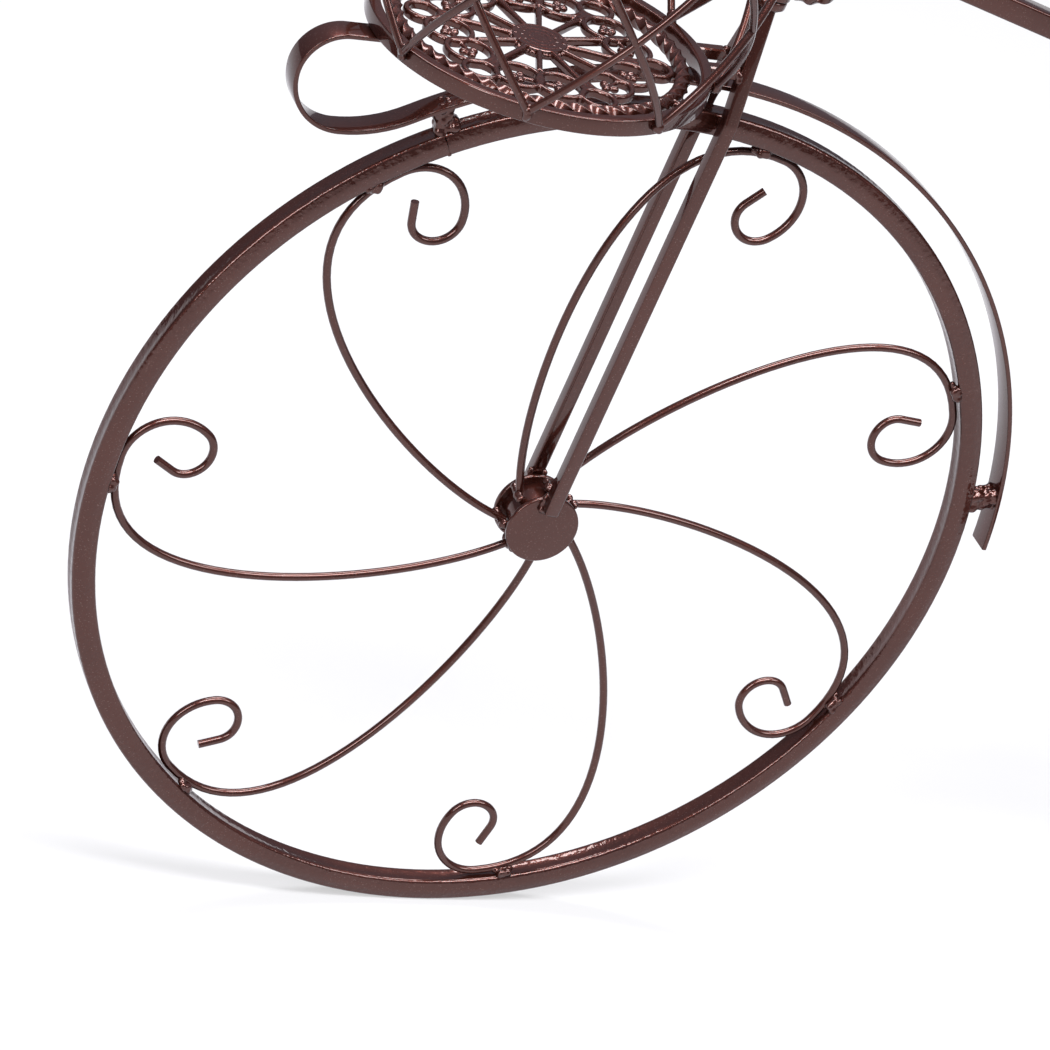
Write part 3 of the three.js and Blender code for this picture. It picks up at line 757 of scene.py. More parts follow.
def bent(start: Vector, heading: float, bends: Sequence[Bend], step_angle: float = 7.0) -> list[Vector]:
    """Follows bends in the XZ plane, seen from -Y.

    Args:
        start: where the path begins; its first point isn't repeated in the result.
        heading: degrees from +X towards +Z.
        bends: the arcs and runs, in order.
        step_angle: degrees of an arc between two points.

    Returns:
        The points after the start.
    """
    at, facing = Vector((start.x, 0, start.z)), radians(heading)
    found = []
    for bend in bends:
        if bend.run:
            at = at + bend.run * in_plane(facing)
            found.append(at)
            continue
        side = copysign(1, bend.turn)
        out = facing - side * pi / 2
        middle = at - bend.radius * in_plane(out)
        steps = max(2, ceil(abs(bend.turn) / step_angle))
        for step in range(1, steps + 1):
            angle = out + radians(bend.turn) * step / steps
            found.append(middle + bend.radius * in_plane(angle))
        at = found[-1]
        facing += radians(bend.turn)
    return found


def softened(points: Points, radius: float, steps: int = 6) -> list[Vector]:
    """Rounds the corners of a path of straight runs.

    Args:
        points: the path's corners and ends.
        radius: how far from a corner its bend starts.
        steps: runs in each bend.

    Returns:
        The rounded path.
    """
    found = [points[0]]
    for before, corner, after in zip(points, points[1:], points[2:]):
        back = (before - corner).normalized() * min(radius, (before - corner).length / 2)
        on = (after - corner).normalized() * min(radius, (after - corner).length / 2)
        found.extend(bezier([corner + back, corner, corner + on], steps))
    found.append(points[-1])
    return found


def path_mesh(name: str, paths: Sequence[Points], closed: bool = False) -> Piece:
    """Makes an object of bare edges, for a geometry node tree to follow.

    Args:
        name: the object's name.
        paths: the points of each path.
        closed: whether each path's last point joins its first.

    Returns:
        The new object.
    """
    corners, edges = [], []
    for path in paths:
        start = len(corners)
        corners.extend(tuple(point) for point in path)
        edges.extend((start + i, start + i + 1) for i in range(len(path) - 1))
        if closed:
            edges.append((start + len(path) - 1, start))
    mesh = bpy.data.meshes.new(name)
    mesh.from_pydata(corners, edges, [])
    return link_new(name, mesh)


# Geometry node trees


class Recipe:
    """A geometry node tree with named inputs, which realizes its result and gives it a material."""

    def __init__(self, name: str) -> None:
        """Starts a tree that takes a geometry and a material.

        Args:
            name: the tree's name.
        """
        self.tree = bpy.data.node_groups.new(name, "GeometryNodeTree")
        self.identifiers: dict[str, str] = {}
        self.entry = self.tree.nodes.new("NodeGroupInput")
        self.geometry = self.ask("Geometry", "NodeSocketGeometry")
        self.material = self.ask("Material", "NodeSocketMaterial")

    def ask(self, name: str, kind: str, default: object = None) -> Socket:
        """Adds a named input.

        Args:
            name: the input's name.
            kind: its socket's type.
            default: its value where a piece sets none.

        Returns:
            The socket that gives the input's value.
        """
        socket = self.tree.interface.new_socket(name=name, in_out="INPUT", socket_type=kind)
        if default is not None:
            socket.default_value = default
        self.identifiers[name] = socket.identifier
        return self.entry.outputs[name]

    def node(self, kind: str, feeds: dict | None = None, **settings) -> bpy.types.Node:
        """Adds a node to this tree."""
        return add_node(self.tree, kind, feeds, **settings)

    def math(self, operation: str, first: object, second: object) -> Socket:
        """A sum or product of two values."""
        return self.node("ShaderNodeMath", {0: first, 1: second}, operation=operation).outputs[0]

    def round_axis(self, geometry: Socket) -> Socket:
        """Sets copies of a geometry evenly round an axis through the origin.

        Args:
            geometry: what is copied.

        Returns:
            The copies.
        """
        count = self.ask("Count", "NodeSocketInt", 1)
        first = self.ask("First angle", "NodeSocketFloat", 0.0)
        axis = self.ask("Axis", "NodeSocketVector", tuple(Z_AXIS))
        points = self.node("GeometryNodePoints", {"Count": count}).outputs["Points"]
        index = self.node("GeometryNodeInputIndex").outputs["Index"]
        step = self.math("DIVIDE", FULL_TURN, count)
        angle = self.math("ADD", self.math("MULTIPLY", index, step), first)
        turn = self.node("FunctionNodeAxisAngleToRotation", {"Axis": axis, "Angle": angle})
        feeds = {"Points": points, "Instance": geometry, "Rotation": turn.outputs["Rotation"]}
        return self.node("GeometryNodeInstanceOnPoints", feeds).outputs["Instances"]

    def finish(self, geometry: Socket) -> "Recipe":
        """Realizes the result, shades it smooth, gives it the material and ends the tree.

        Args:
            geometry: the result.

        Returns:
            This recipe.
        """
        real = self.node("GeometryNodeRealizeInstances", {"Geometry": geometry}).outputs["Geometry"]
        smooth = self.node("GeometryNodeSetShadeSmooth", {"Geometry": real}).outputs["Geometry"]
        dressed = self.node("GeometryNodeSetMaterial", {"Geometry": smooth, "Material": self.material})
        self.tree.interface.new_socket(name="Geometry", in_out="OUTPUT", socket_type="NodeSocketGeometry")
        leave = self.tree.nodes.new("NodeGroupOutput")
        self.tree.links.new(dressed.outputs["Geometry"], leave.inputs["Geometry"])
        return self

    def apply(self, piece: Piece, **values) -> Piece:
        """Puts the tree on an object, with its inputs set before anything is evaluated.

        Args:
            piece: the object that holds the tree's geometry.
            values: an input's name, with underscores for spaces, and its value.

        Returns:
            The same object, with its modifier still on it.
        """
        modifier = piece.modifiers.new(self.tree.name, "NODES")
        modifier.node_group = self.tree
        for name, value in values.items():
            modifier[self.identifiers[name.replace("_", " ")]] = value
        return piece


def bar_recipe() -> Recipe:
    """Round bar along each path, and copies of it round an axis.

    Returns:
        The recipe.
    """
    recipe = Recipe("round bars round an axis")
    radius = recipe.ask("Radius", "NodeSocketFloat", 0.001)
    sides = recipe.ask("Sides", "NodeSocketInt", 16)
    line = recipe.node("GeometryNodeMeshToCurve", {"Mesh": recipe.geometry}).outputs["Curve"]
    ring = {"Resolution": sides, "Radius": radius}
    section = recipe.node("GeometryNodeCurvePrimitiveCircle", ring, mode="RADIUS").outputs["Curve"]
    sweep = {"Curve": line, "Profile Curve": section, "Fill Caps": True}
    bar = recipe.node("GeometryNodeCurveToMesh", sweep)
    return recipe.finish(recipe.round_axis(bar.outputs["Mesh"]))


def copies_recipe() -> Recipe:
    """Copies of a mesh set evenly round an axis."""
    recipe = Recipe("copies round an axis")
    return recipe.finish(recipe.round_axis(recipe.geometry))


def row_recipe() -> Recipe:
    """Copies of a mesh in a straight row.

    Returns:
        The recipe.
    """
    recipe = Recipe("copies in a row")
    count = recipe.ask("Count", "NodeSocketInt", 1)
    pitch = recipe.ask("Pitch", "NodeSocketVector", (0.0, 0.0, 0.001))
    points = recipe.node("GeometryNodePoints", {"Count": count}).outputs["Points"]
    index = recipe.node("GeometryNodeInputIndex").outputs["Index"]
    shift = recipe.node("ShaderNodeVectorMath", {0: pitch, "Scale": index}, operation="SCALE")
    offset = {"Geometry": points, "Offset": shift.outputs["Vector"]}
    spread = recipe.node("GeometryNodeSetPosition", offset).outputs["Geometry"]
    placed = recipe.node("GeometryNodeInstanceOnPoints", {"Points": spread, "Instance": recipe.geometry})
    return recipe.finish(placed.outputs["Instances"])


def twist_recipe() -> Recipe:
    """Square bar with round edges along a path, twisted by an even turn at each point.

    Returns:
        The recipe.
    """
    recipe = Recipe("twisted square bar")
    width = recipe.ask("Width", "NodeSocketFloat", 0.005)
    corner = recipe.ask("Corner", "NodeSocketFloat", 0.0005)
    turn = recipe.ask("Turn", "NodeSocketFloat", 0.1)
    axis = recipe.ask("Axis", "NodeSocketVector", tuple(Z_AXIS))
    line = recipe.node("GeometryNodeMeshToCurve", {"Mesh": recipe.geometry}).outputs["Curve"]
    upright = {"Curve": line, "Normal": axis}
    level = recipe.node("GeometryNodeSetCurveNormal", upright, mode="FREE").outputs["Curve"]
    index = recipe.node("GeometryNodeInputIndex").outputs["Index"]
    tilt = recipe.math("MULTIPLY", index, turn)
    twisted = recipe.node("GeometryNodeSetCurveTilt", {"Curve": level, "Tilt": tilt}).outputs["Curve"]
    sides = {"Width": width, "Height": width}
    square = recipe.node("GeometryNodeCurvePrimitiveQuadrilateral", sides, mode="RECTANGLE").outputs["Curve"]
    rounding = {"Curve": square, "Count": 3, "Radius": corner}
    section = recipe.node("GeometryNodeFilletCurve", rounding, mode="POLY").outputs["Curve"]
    sweep = {"Curve": twisted, "Profile Curve": section, "Fill Caps": True}
    bar = recipe.node("GeometryNodeCurveToMesh", sweep)
    return recipe.finish(bar.outputs["Mesh"])


def bead_recipe() -> Recipe:
    """Beads of uneven size strewn along each path, as weld metal lies along a seam.

    Returns:
        The recipe.
    """
    recipe = Recipe("weld beads")
    radius = recipe.ask("Radius", "NodeSocketFloat", 0.0015)
    spacing = recipe.ask("Spacing", "NodeSocketFloat", 0.001)
    stray = recipe.ask("Stray", "NodeSocketFloat", 0.0005)
    seed = recipe.ask("Seed", "NodeSocketInt", 1)
    line = recipe.node("GeometryNodeMeshToCurve", {"Mesh": recipe.geometry}).outputs["Curve"]
    points = recipe.node("GeometryNodeCurveToPoints", {"Curve": line, "Length": spacing}, mode="LENGTH")
    reach = {0: (-1.0, -1.0, -1.0), 1: (1.0, 1.0, 1.0), "Seed": seed}
    scatter = recipe.node("FunctionNodeRandomValue", reach, data_type="FLOAT_VECTOR")
    shift = recipe.node("ShaderNodeVectorMath", {0: scatter.outputs[0], "Scale": stray}, operation="SCALE")
    offset = {"Geometry": points.outputs["Points"], "Offset": shift.outputs["Vector"]}
    strewn = recipe.node("GeometryNodeSetPosition", offset)
    smallest, largest = 0.75, 1.2
    sizes = {2: smallest, 3: largest, "Seed": seed}
    size = recipe.node("FunctionNodeRandomValue", sizes, data_type="FLOAT")
    ball = recipe.node("GeometryNodeMeshIcoSphere", {"Radius": radius, "Subdivisions": 3}).outputs["Mesh"]
    placed = recipe.node(
        "GeometryNodeInstanceOnPoints",
        {"Points": strewn.outputs["Geometry"], "Instance": ball, "Scale": size.outputs[1]},
    )
    return recipe.finish(placed.outputs["Instances"])


class Bench:
    """Where the pieces are made: it holds the node trees, and hands each finished piece to its body."""

    def __init__(self) -> None:
        """Builds the node trees."""
        self.bars = bar_recipe()
        self.copies = copies_recipe()
        self.row = row_recipe()
        self.twist = twist_recipe()
        self.beads = bead_recipe()
        self.seams: dict[Body, list[tuple[list[Vector], float]]] = {}

    def hand_over(self, piece: Piece, body: Body, *stands_for: str, finish: Finish = ENAMEL) -> None:
        """Dresses a finished piece and lets it ride on its body.

        Args:
            piece: the piece, in place.
            body: the body that it moves with.
            stands_for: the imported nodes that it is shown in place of.
            finish: what it is painted or made of.
        """
        piece.data.materials.clear()
        piece.data.materials.append(finish.material())
        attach(piece, body.value)
        if stands_for:
            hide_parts(*stands_for)
        log.info("%s: %d faces, rides on %s", piece.name, len(piece.data.polygons), body.value)

    def round_bar(
        self,
        name: str,
        paths: Sequence[Points],
        radius: float,
        sides: int = 16,
        count: int = 1,
        first_angle: float = 0.0,
        axis: Vector = Z_AXIS,
        place: Matrix | None = None,
    ) -> Piece:
        """Round bar along some paths, copied round an axis and put in place.

        Args:
            name: the piece's name.
            paths: the bar's middle lines, round the origin.
            radius: of the bar.
            sides: of the bar's section.
            count: how many copies stand round the axis.
            first_angle: radians, of the first copy.
            axis: through the origin.
            place: moves the whole to its place.

        Returns:
            The bars as one plain object.
        """
        piece = path_mesh(name, paths)
        self.bars.apply(
            piece,
            Material=ENAMEL.material(),
            Radius=radius,
            Sides=sides,
            Count=count,
            First_angle=first_angle,
            Axis=tuple(axis),
        )
        freeze(piece)
        shade(piece.data, 50.0)
        if place is not None:
            piece.data.transform(place)
        return piece

    def seam(self, body: Body, points: Points, bead: float, place: Matrix = Matrix()) -> None:
        """Notes a weld along some points, to be laid at the end.

        Args:
            body: the body that the weld moves with.
            points: the seam's line.
            bead: radius of its beads.
            place: takes the line to the row frame.
        """
        self.seams.setdefault(body, []).append(([place @ p for p in points], bead))

    def lay_seams(self, voxel: float = 0.00045, smoothing: int = 7) -> None:
        """Lays every noted weld, as one piece for each body.

        Args:
            voxel: grain of the mesh that melts the beads together.
            smoothing: passes that take the grain's steps away.
        """
        spacing_share, stray_share, first_seed = 0.62, 0.42, 3
        for body, seams in self.seams.items():
            beads: list[Piece] = []
            for number, radius in enumerate(sorted({bead for _, bead in seams})):
                lines = [points for points, bead in seams if bead == radius]
                part = path_mesh(f"{body.value}_beads_{number}", lines)
                self.beads.apply(
                    part,
                    Material=WELD_ENAMEL.material(),
                    Radius=radius,
                    Spacing=radius * spacing_share,
                    Stray=radius * stray_share,
                    Seed=number + first_seed,
                )
                beads.append(freeze(part))
            piece = melted(joined(f"{body.value}_welds", beads), voxel, smoothing)
            self.hand_over(piece, body, finish=WELD_ENAMEL)


def joined(name: str, parts: Sequence[Piece]) -> Piece:
    """Makes one object of several.

    Args:
        name: the new object's name.
        parts: the objects, which are removed.

    Returns:
        The new object.
    """
    work = bmesh.new()
    for part in parts:
        work.from_mesh(part.data)
    mesh = bpy.data.meshes.new(name)
    work.to_mesh(mesh)
    work.free()
    for part in parts:
        before = part.data
        bpy.data.objects.remove(part)
        bpy.data.meshes.remove(before)
    return link_new(name, mesh)


# Sub-assemblies


@dataclass(frozen=True)
class Station:
    """One end of the bicycle: where its hub is, and which way it faces."""

    end: End

    @property
    def body(self) -> Body:
        """The body that this end's pieces ride on."""
        return Body.FRONT_END if self.end is End.FRONT else Body.FRAME

    @property
    def place(self) -> Matrix:
        """Takes a point given round the hub, with the basket towards -X, to the row frame."""
        turn = 0.0 if self.end is End.FRONT else pi
        return Matrix.Translation(middle_of(self.node("rim"))) @ Matrix.Rotation(turn, 4, "Z")

    def node(self, part: str) -> str:
        """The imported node's name of one of this end's parts."""
        return f"{self.end.value}_{part}"

    def sides(self, part: str) -> dict[int, str]:
        """The names of a part's two nodes, by the sign of their Y as seen round the hub."""
        left = -1 if self.end is End.FRONT else 1
        return {left: self.node(f"{part}_left"), -left: self.node(f"{part}_right")}


@dataclass(frozen=True)
class Wheel:
    """Rim of square tube, a hub of a barrel between two discs, and seven scroll spokes."""

    station: Station
    tube: float = 0.010
    tube_corner: float = 0.0016
    rim_dip: float = 0.0004
    rim_crown: float = 0.0007
    rim_steps: int = 192
    seam_angle: float = 117.6
    seam_width: float = 0.0005
    wire_radius: float = 0.00175
    seat: float = 0.0003
    hub_half_width: float = 0.0096
    disc_thickness: float = 0.0025
    barrel_edge: float = 0.0004
    disc_edge: float = 0.0008
    hub_segments: int = 72
    stand_bore: float = 0.0045  # through the rear hub, where the stand turns
    spoke_count: int = 7
    spoke_phase: float = 20.6
    weld_lead: float = 3.85  # degrees from a spoke's nearest place on the rim to the middle of its weld
    hub_angle: float = 63.8
    hub_lean: float = 26.2
    root_pull_share: float = 0.274
    weld_pull_share: float = 0.413
    scroll_radius_shares: tuple[float, ...] = (0.104, 0.117, 0.059, 0.047)
    scroll_turns: tuple[float, ...] = (89.0, 38.0, 116.0, 54.0)
    scroll_tail_share: float = 0.048
    bead: float = 0.0016
    seam_shares: tuple[float, float] = (0.1, 0.6)  # how much of the rim's seam shows its weld
    # A spoke's weld: shares of the way to the near face, drops from the rim, and half lengths
    weld_runs: tuple[tuple[float, float, float], ...] = (
        (1.0, 0.0, 0.0024),
        (1.0, 0.0016, 0.0014),
        (1 / 3, 0.001, 0.0034),
    )
    root_weld_half: float = 0.0045

    @property
    def radius(self) -> float:
        """Outer radius of the rim."""
        return span_of(self.station.node("rim")).z / 2

    def build(self, bench: Bench) -> None:
        """Makes the wheel's pieces."""
        self.rim(bench)
        self.hub(bench)
        self.spokes(bench)

    def rim(self, bench: Bench) -> None:
        """The tube rolled into a circle, with the gap of its butt seam left open."""
        outline = rounded_box(self.tube, self.tube, self.tube_corner, 5, self.rim_dip, self.rim_crown)
        middle = self.radius - self.tube / 2
        gap = self.seam_width / middle
        loops = []
        for step in range(self.rim_steps + 1):
            turn = radians(self.seam_angle) + gap / 2 + (FULL_TURN - gap) * step / self.rim_steps
            out = in_plane(turn)
            loops.append([out * (middle + u) + Y_AXIS * v for u, v in outline])
        piece = skin(loops).moved(self.station.place).to_object(self.station.node("rolled_rim"))
        bench.hand_over(piece, self.station.body, self.station.node("rim"), finish=PITTED_ENAMEL)
        out = in_plane(radians(self.seam_angle))
        low = self.radius - self.tube
        near = Y_AXIS * (self.bead * 0.55 - self.tube / 2)
        points = [out * (low + self.tube * share) + near for share in self.seam_shares]
        bench.seam(self.station.body, points, self.bead * 0.6, self.station.place)

    def hub(self, bench: Bench) -> None:
        """The barrel and the two discs."""
        place = self.station.place
        bore = self.stand_bore if self.station.end is End.REAR else 0.0
        barrel_node = self.station.node("hub_barrel")
        size = span_of(barrel_node) / 2
        lie = Matrix.Rotation(pi / 2, 4, "X")
        barrel = turned(size.z, -size.y, size.y, self.barrel_edge, bore, self.hub_segments)
        piece = barrel.moved(place @ lie).to_object(self.station.node("turned_barrel"))
        bench.hand_over(piece, self.station.body, barrel_node)
        for side, node in self.station.sides("hub_disc").items():
            inner = self.hub_half_width - self.disc_thickness
            radius = span_of(node).z / 2
            disc = turned(radius, inner, self.hub_half_width, self.disc_edge, bore, self.hub_segments)
            face = Matrix.Rotation(-side * pi / 2, 4, "X")
            name = self.station.node("stamped_disc_" + ("near" if side < 0 else "far"))
            bench.hand_over(disc.moved(place @ face).to_object(name), self.station.body, node)

    def spoke_line(self) -> list[Vector]:
        """The middle line of the spoke whose weld on the rim lies on +X.

        Returns:
            The line's points, from its root to the tail of its scroll.
        """
        inner = self.radius - self.tube
        weld = inner - self.seat - self.wire_radius
        barrel = span_of(self.station.node("hub_barrel")).z / 2
        lean, angle = radians(self.hub_lean), radians(self.hub_angle)
        root_radius = barrel + self.seat + self.wire_radius * sin(lean)
        root = root_radius * in_plane(angle)
        handles = [
            root,
            root + inner * self.root_pull_share * in_plane(angle - lean),
            Vector((weld, 0, inner * self.weld_pull_share)),
            Vector((weld, 0, 0)),
        ]
        shares = zip(self.scroll_radius_shares, self.scroll_turns)
        scroll = [Bend(share * inner, -turn) for share, turn in shares]
        scroll.append(Bend(run=self.scroll_tail_share * inner))
        return bezier(handles, 40) + bent(handles[-1], -90, scroll)

    def spokes(self, bench: Bench) -> None:
        """The seven spokes, with their welds at the hub and on the rim."""
        line = self.spoke_line()
        nodes = [self.station.node(f"spoke_{i + 1}") for i in range(self.spoke_count)]
        piece = bench.round_bar(
            self.station.node("scroll_spokes"),
            [line],
            self.wire_radius,
            count=self.spoke_count,
            first_angle=-radians(self.spoke_phase),
            axis=Y_AXIS,
            place=self.station.place,
        )
        bench.hand_over(piece, self.station.body, *nodes)
        weld = self.radius - self.tube - self.bead * 0.3
        near = -self.tube / 2 + self.bead
        for number in range(self.spoke_count):
            angle = self.spoke_phase + 360 * number / self.spoke_count
            turn = self.station.place @ Matrix.Rotation(-radians(angle), 4, "Y")
            lead = turn @ Matrix.Rotation(-radians(self.weld_lead), 4, "Y")
            for share, drop, reach in self.weld_runs:
                run = [Vector((weld - drop, near * share, z)) for z in (-reach, reach)]
                bench.seam(self.station.body, run, self.bead, lead)
            root = line[0]
            out = root.normalized() * self.wire_radius
            foot = [root + out + Y_AXIS * y for y in (-self.root_weld_half, self.root_weld_half)]
            bench.seam(self.station.body, foot, self.bead * 1.15, turn)


@dataclass(frozen=True)
class Mudguard:
    """A flat strip round the rim, bent flat and curled under the basket, on two lumps of weld."""

    station: Station
    width: float = 0.012
    thickness: float = 0.002
    edge: float = 0.0005
    gap: float = 0.011
    seat: float = 0.0003
    tip_angle: float = 0.5
    leave_angle: float = 120.5
    return_radius: float = 0.058
    curl_lower_share: float = 0.56
    curl_run: float = 0.018
    stub_angles: tuple[float, float] = (7.0, 117.0)
    stub_width: float = 0.0078
    waist_share: float = 0.3  # how far a stub narrows in its middle
    bead: float = 0.0021
    end_weld: tuple[float, float, float] = (-0.002, 0.0, 0.0012)  # from the end of the curl
    step_angle: float = 1.5

    def line(self, rim_radius: float, hoop_bottom: float) -> list[Vector]:
        """The strip's middle line round the hub.

        Args:
            rim_radius: outer radius of the rim.
            hoop_bottom: height of the basket's underside over the hub.

        Returns:
            The line's points, from the strip's tip to the end of its curl.
        """
        radius = rim_radius + self.gap + self.thickness / 2
        steps = ceil((self.leave_angle - self.tip_angle) / self.step_angle)
        line = []
        for step in range(steps + 1):
            angle = radians(self.tip_angle + (self.leave_angle - self.tip_angle) * step / steps)
            line.append(radius * in_plane(angle))
        turn = self.leave_angle - 90
        lowest = line[-1].z - self.return_radius * (1 - cos(radians(turn)))
        curl = hoop_bottom - self.seat - self.thickness / 2 - lowest
        lower, upper = curl * self.curl_lower_share, curl * (1 - self.curl_lower_share)
        bends = [Bend(self.return_radius, -turn), Bend(lower, -90), Bend(upper, -90), Bend(run=self.curl_run)]
        return line + bent(line[-1], self.leave_angle + 90, bends, 4.0)

    def build(self, bench: Bench) -> None:
        """Makes the strip and its two weld lumps."""
        station = self.station
        hub = middle_of(station.node("rim"))
        rim_radius = span_of(station.node("rim")).z / 2
        hoop_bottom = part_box(station.node("basket_hoop"))[0].z - hub.z
        line = self.line(rim_radius, hoop_bottom)
        outline = rounded_box(self.thickness, self.width, self.edge, 3)
        loops = []
        for i, point in enumerate(line):
            run = (line[min(i + 1, len(line) - 1)] - line[max(i - 1, 0)]).normalized()
            out = Y_AXIS.cross(run)
            loops.append([point + out * u + Y_AXIS * v for u, v in outline])
        piece = skin(loops).moved(station.place).to_object(station.node("strip_mudguard"))
        bench.hand_over(piece, station.body, station.node("mudguard"))
        half = self.stub_width / 2 - self.bead * 0.6
        for angle in self.stub_angles:
            turn = station.place @ Matrix.Rotation(-radians(angle), 4, "Y")
            for y in (-half, 0, half):
                for z in (-half, 0, half):
                    low, high = Vector((rim_radius, y, z)), Vector((rim_radius + self.gap, y, z))
                    waist = (low + high) / 2 - Vector((0, y, z)) * self.waist_share
                    bench.seam(station.body, (low, waist, high), self.bead, turn)
        end = line[-1] + Vector(self.end_weld)
        across = [end + Y_AXIS * y for y in (-self.width / 3, self.width / 3)]
        bench.seam(station.body, across, self.bead * 0.7, station.place)


@dataclass(frozen=True)
class Fork:
    """Two leaning legs of square bar, welded on the hub's discs, bent in and welded under a round crown."""

    station: Station
    lean: float = 6.8
    offset: float = -0.0023  # the fork's line from the hub's middle
    leg_width: float = 0.0062
    leg_corner: float = 0.0011
    hub_half_width: float = 0.0096
    leg_start: float = 0.010
    bend_height: float = 0.200
    slant: float = 13.0
    crown_radius: float = 0.0075
    crown_edge: float = 0.0009
    crown_lift: float = 0.049
    crown_height: float = 0.004
    tip_levels: Pairs = ((0.0, 1.0), (0.3, 0.35), (1.0, 0.0))  # heights and insets
    foot_reach: float = 0.007  # how far the weld runs up a leg's sides
    foot_drop: float = 0.001
    bead: float = 0.0013

    @property
    def place(self) -> Matrix:
        """Takes a point in the leaning frame, round the hub, to the row frame."""
        return self.station.place @ Matrix.Rotation(radians(self.lean), 4, "Y")

    @property
    def crown_bottom(self) -> float:
        """Height of the crown's underside above the hub, along the lean."""
        return span_of(self.station.node("rim")).z / 2 + self.crown_lift

    @property
    def axis_place(self) -> Matrix:
        """Takes a point given round the crown's axis, at the hub's height, to the row frame."""
        return self.place @ Matrix.Translation((self.offset, 0, 0))

    def leg_across(self, height: float) -> float:
        """How far a leg's middle is from the middle plane, at a height along the lean."""
        bent_in = max(0.0, height - self.bend_height) * tan(radians(self.slant))
        return self.hub_half_width + self.leg_width / 2 - bent_in

    def leg(self, side: int) -> Form:
        """One leg, its lower end rounded, its upper end under the crown.

        Args:
            side: -1 or 1, the sign of its Y.

        Returns:
            The leg.
        """
        edge = self.leg_corner
        top = self.crown_bottom
        levels = [(self.leg_start + edge * up, edge * inset) for up, inset in self.tip_levels]
        levels += [(self.bend_height - edge, 0.0), (self.bend_height + edge, 0.0), (top, 0.0)]
        loops = []
        for height, inset in levels:
            size = self.leg_width - 2 * inset
            middle = Vector((self.offset, side * self.leg_across(height), height))
            outline = rounded_box(size, size, max(edge - inset, edge / 3), 5)
            loops.append([middle + Vector((u, v, 0)) for u, v in outline])
        return skin(loops)

    def build(self, bench: Bench) -> None:
        """Makes the legs and the crown, with their welds."""
        half = self.leg_width / 2
        for side, node in self.station.sides("fork_leg").items():
            name = self.station.node("leg_" + ("near" if side < 0 else "far"))
            leg = self.leg(side).moved(self.place).to_object(name)
            bench.hand_over(leg, self.station.body, node)
            face = side * (self.hub_half_width + self.bead * 0.5)
            seam = [(half, self.foot_reach), (half, 0.0), (half / 2, -self.foot_drop)]
            round_foot = [(-x, z) for x, z in seam] + list(reversed(seam))
            foot = [Vector((self.offset + x, face, self.leg_start + z)) for x, z in round_foot]
            bench.seam(self.station.body, foot, self.bead, self.place)
        meet = self.bend_height + self.hub_half_width / tan(radians(self.slant))
        for x in (-half, half):
            valley = [Vector((self.offset + x * 0.8, 0, z)) for z in (meet, self.crown_bottom)]
            bench.seam(self.station.body, valley, self.bead, self.place)
        low = self.crown_bottom
        disc = turned(self.crown_radius, low, low + self.crown_height, self.crown_edge)
        crown = disc.moved(self.axis_place).to_object(self.station.node("round_crown"))
        bench.hand_over(crown, self.station.body, self.station.node("fork_crown"))
        for side in (-1, 1):
            y = side * (self.leg_across(self.crown_bottom) + half)
            rim = [Vector((self.offset + x, y, self.crown_bottom)) for x in (-half, half)]
            bench.seam(self.station.body, rim, self.bead * 0.8, self.place)


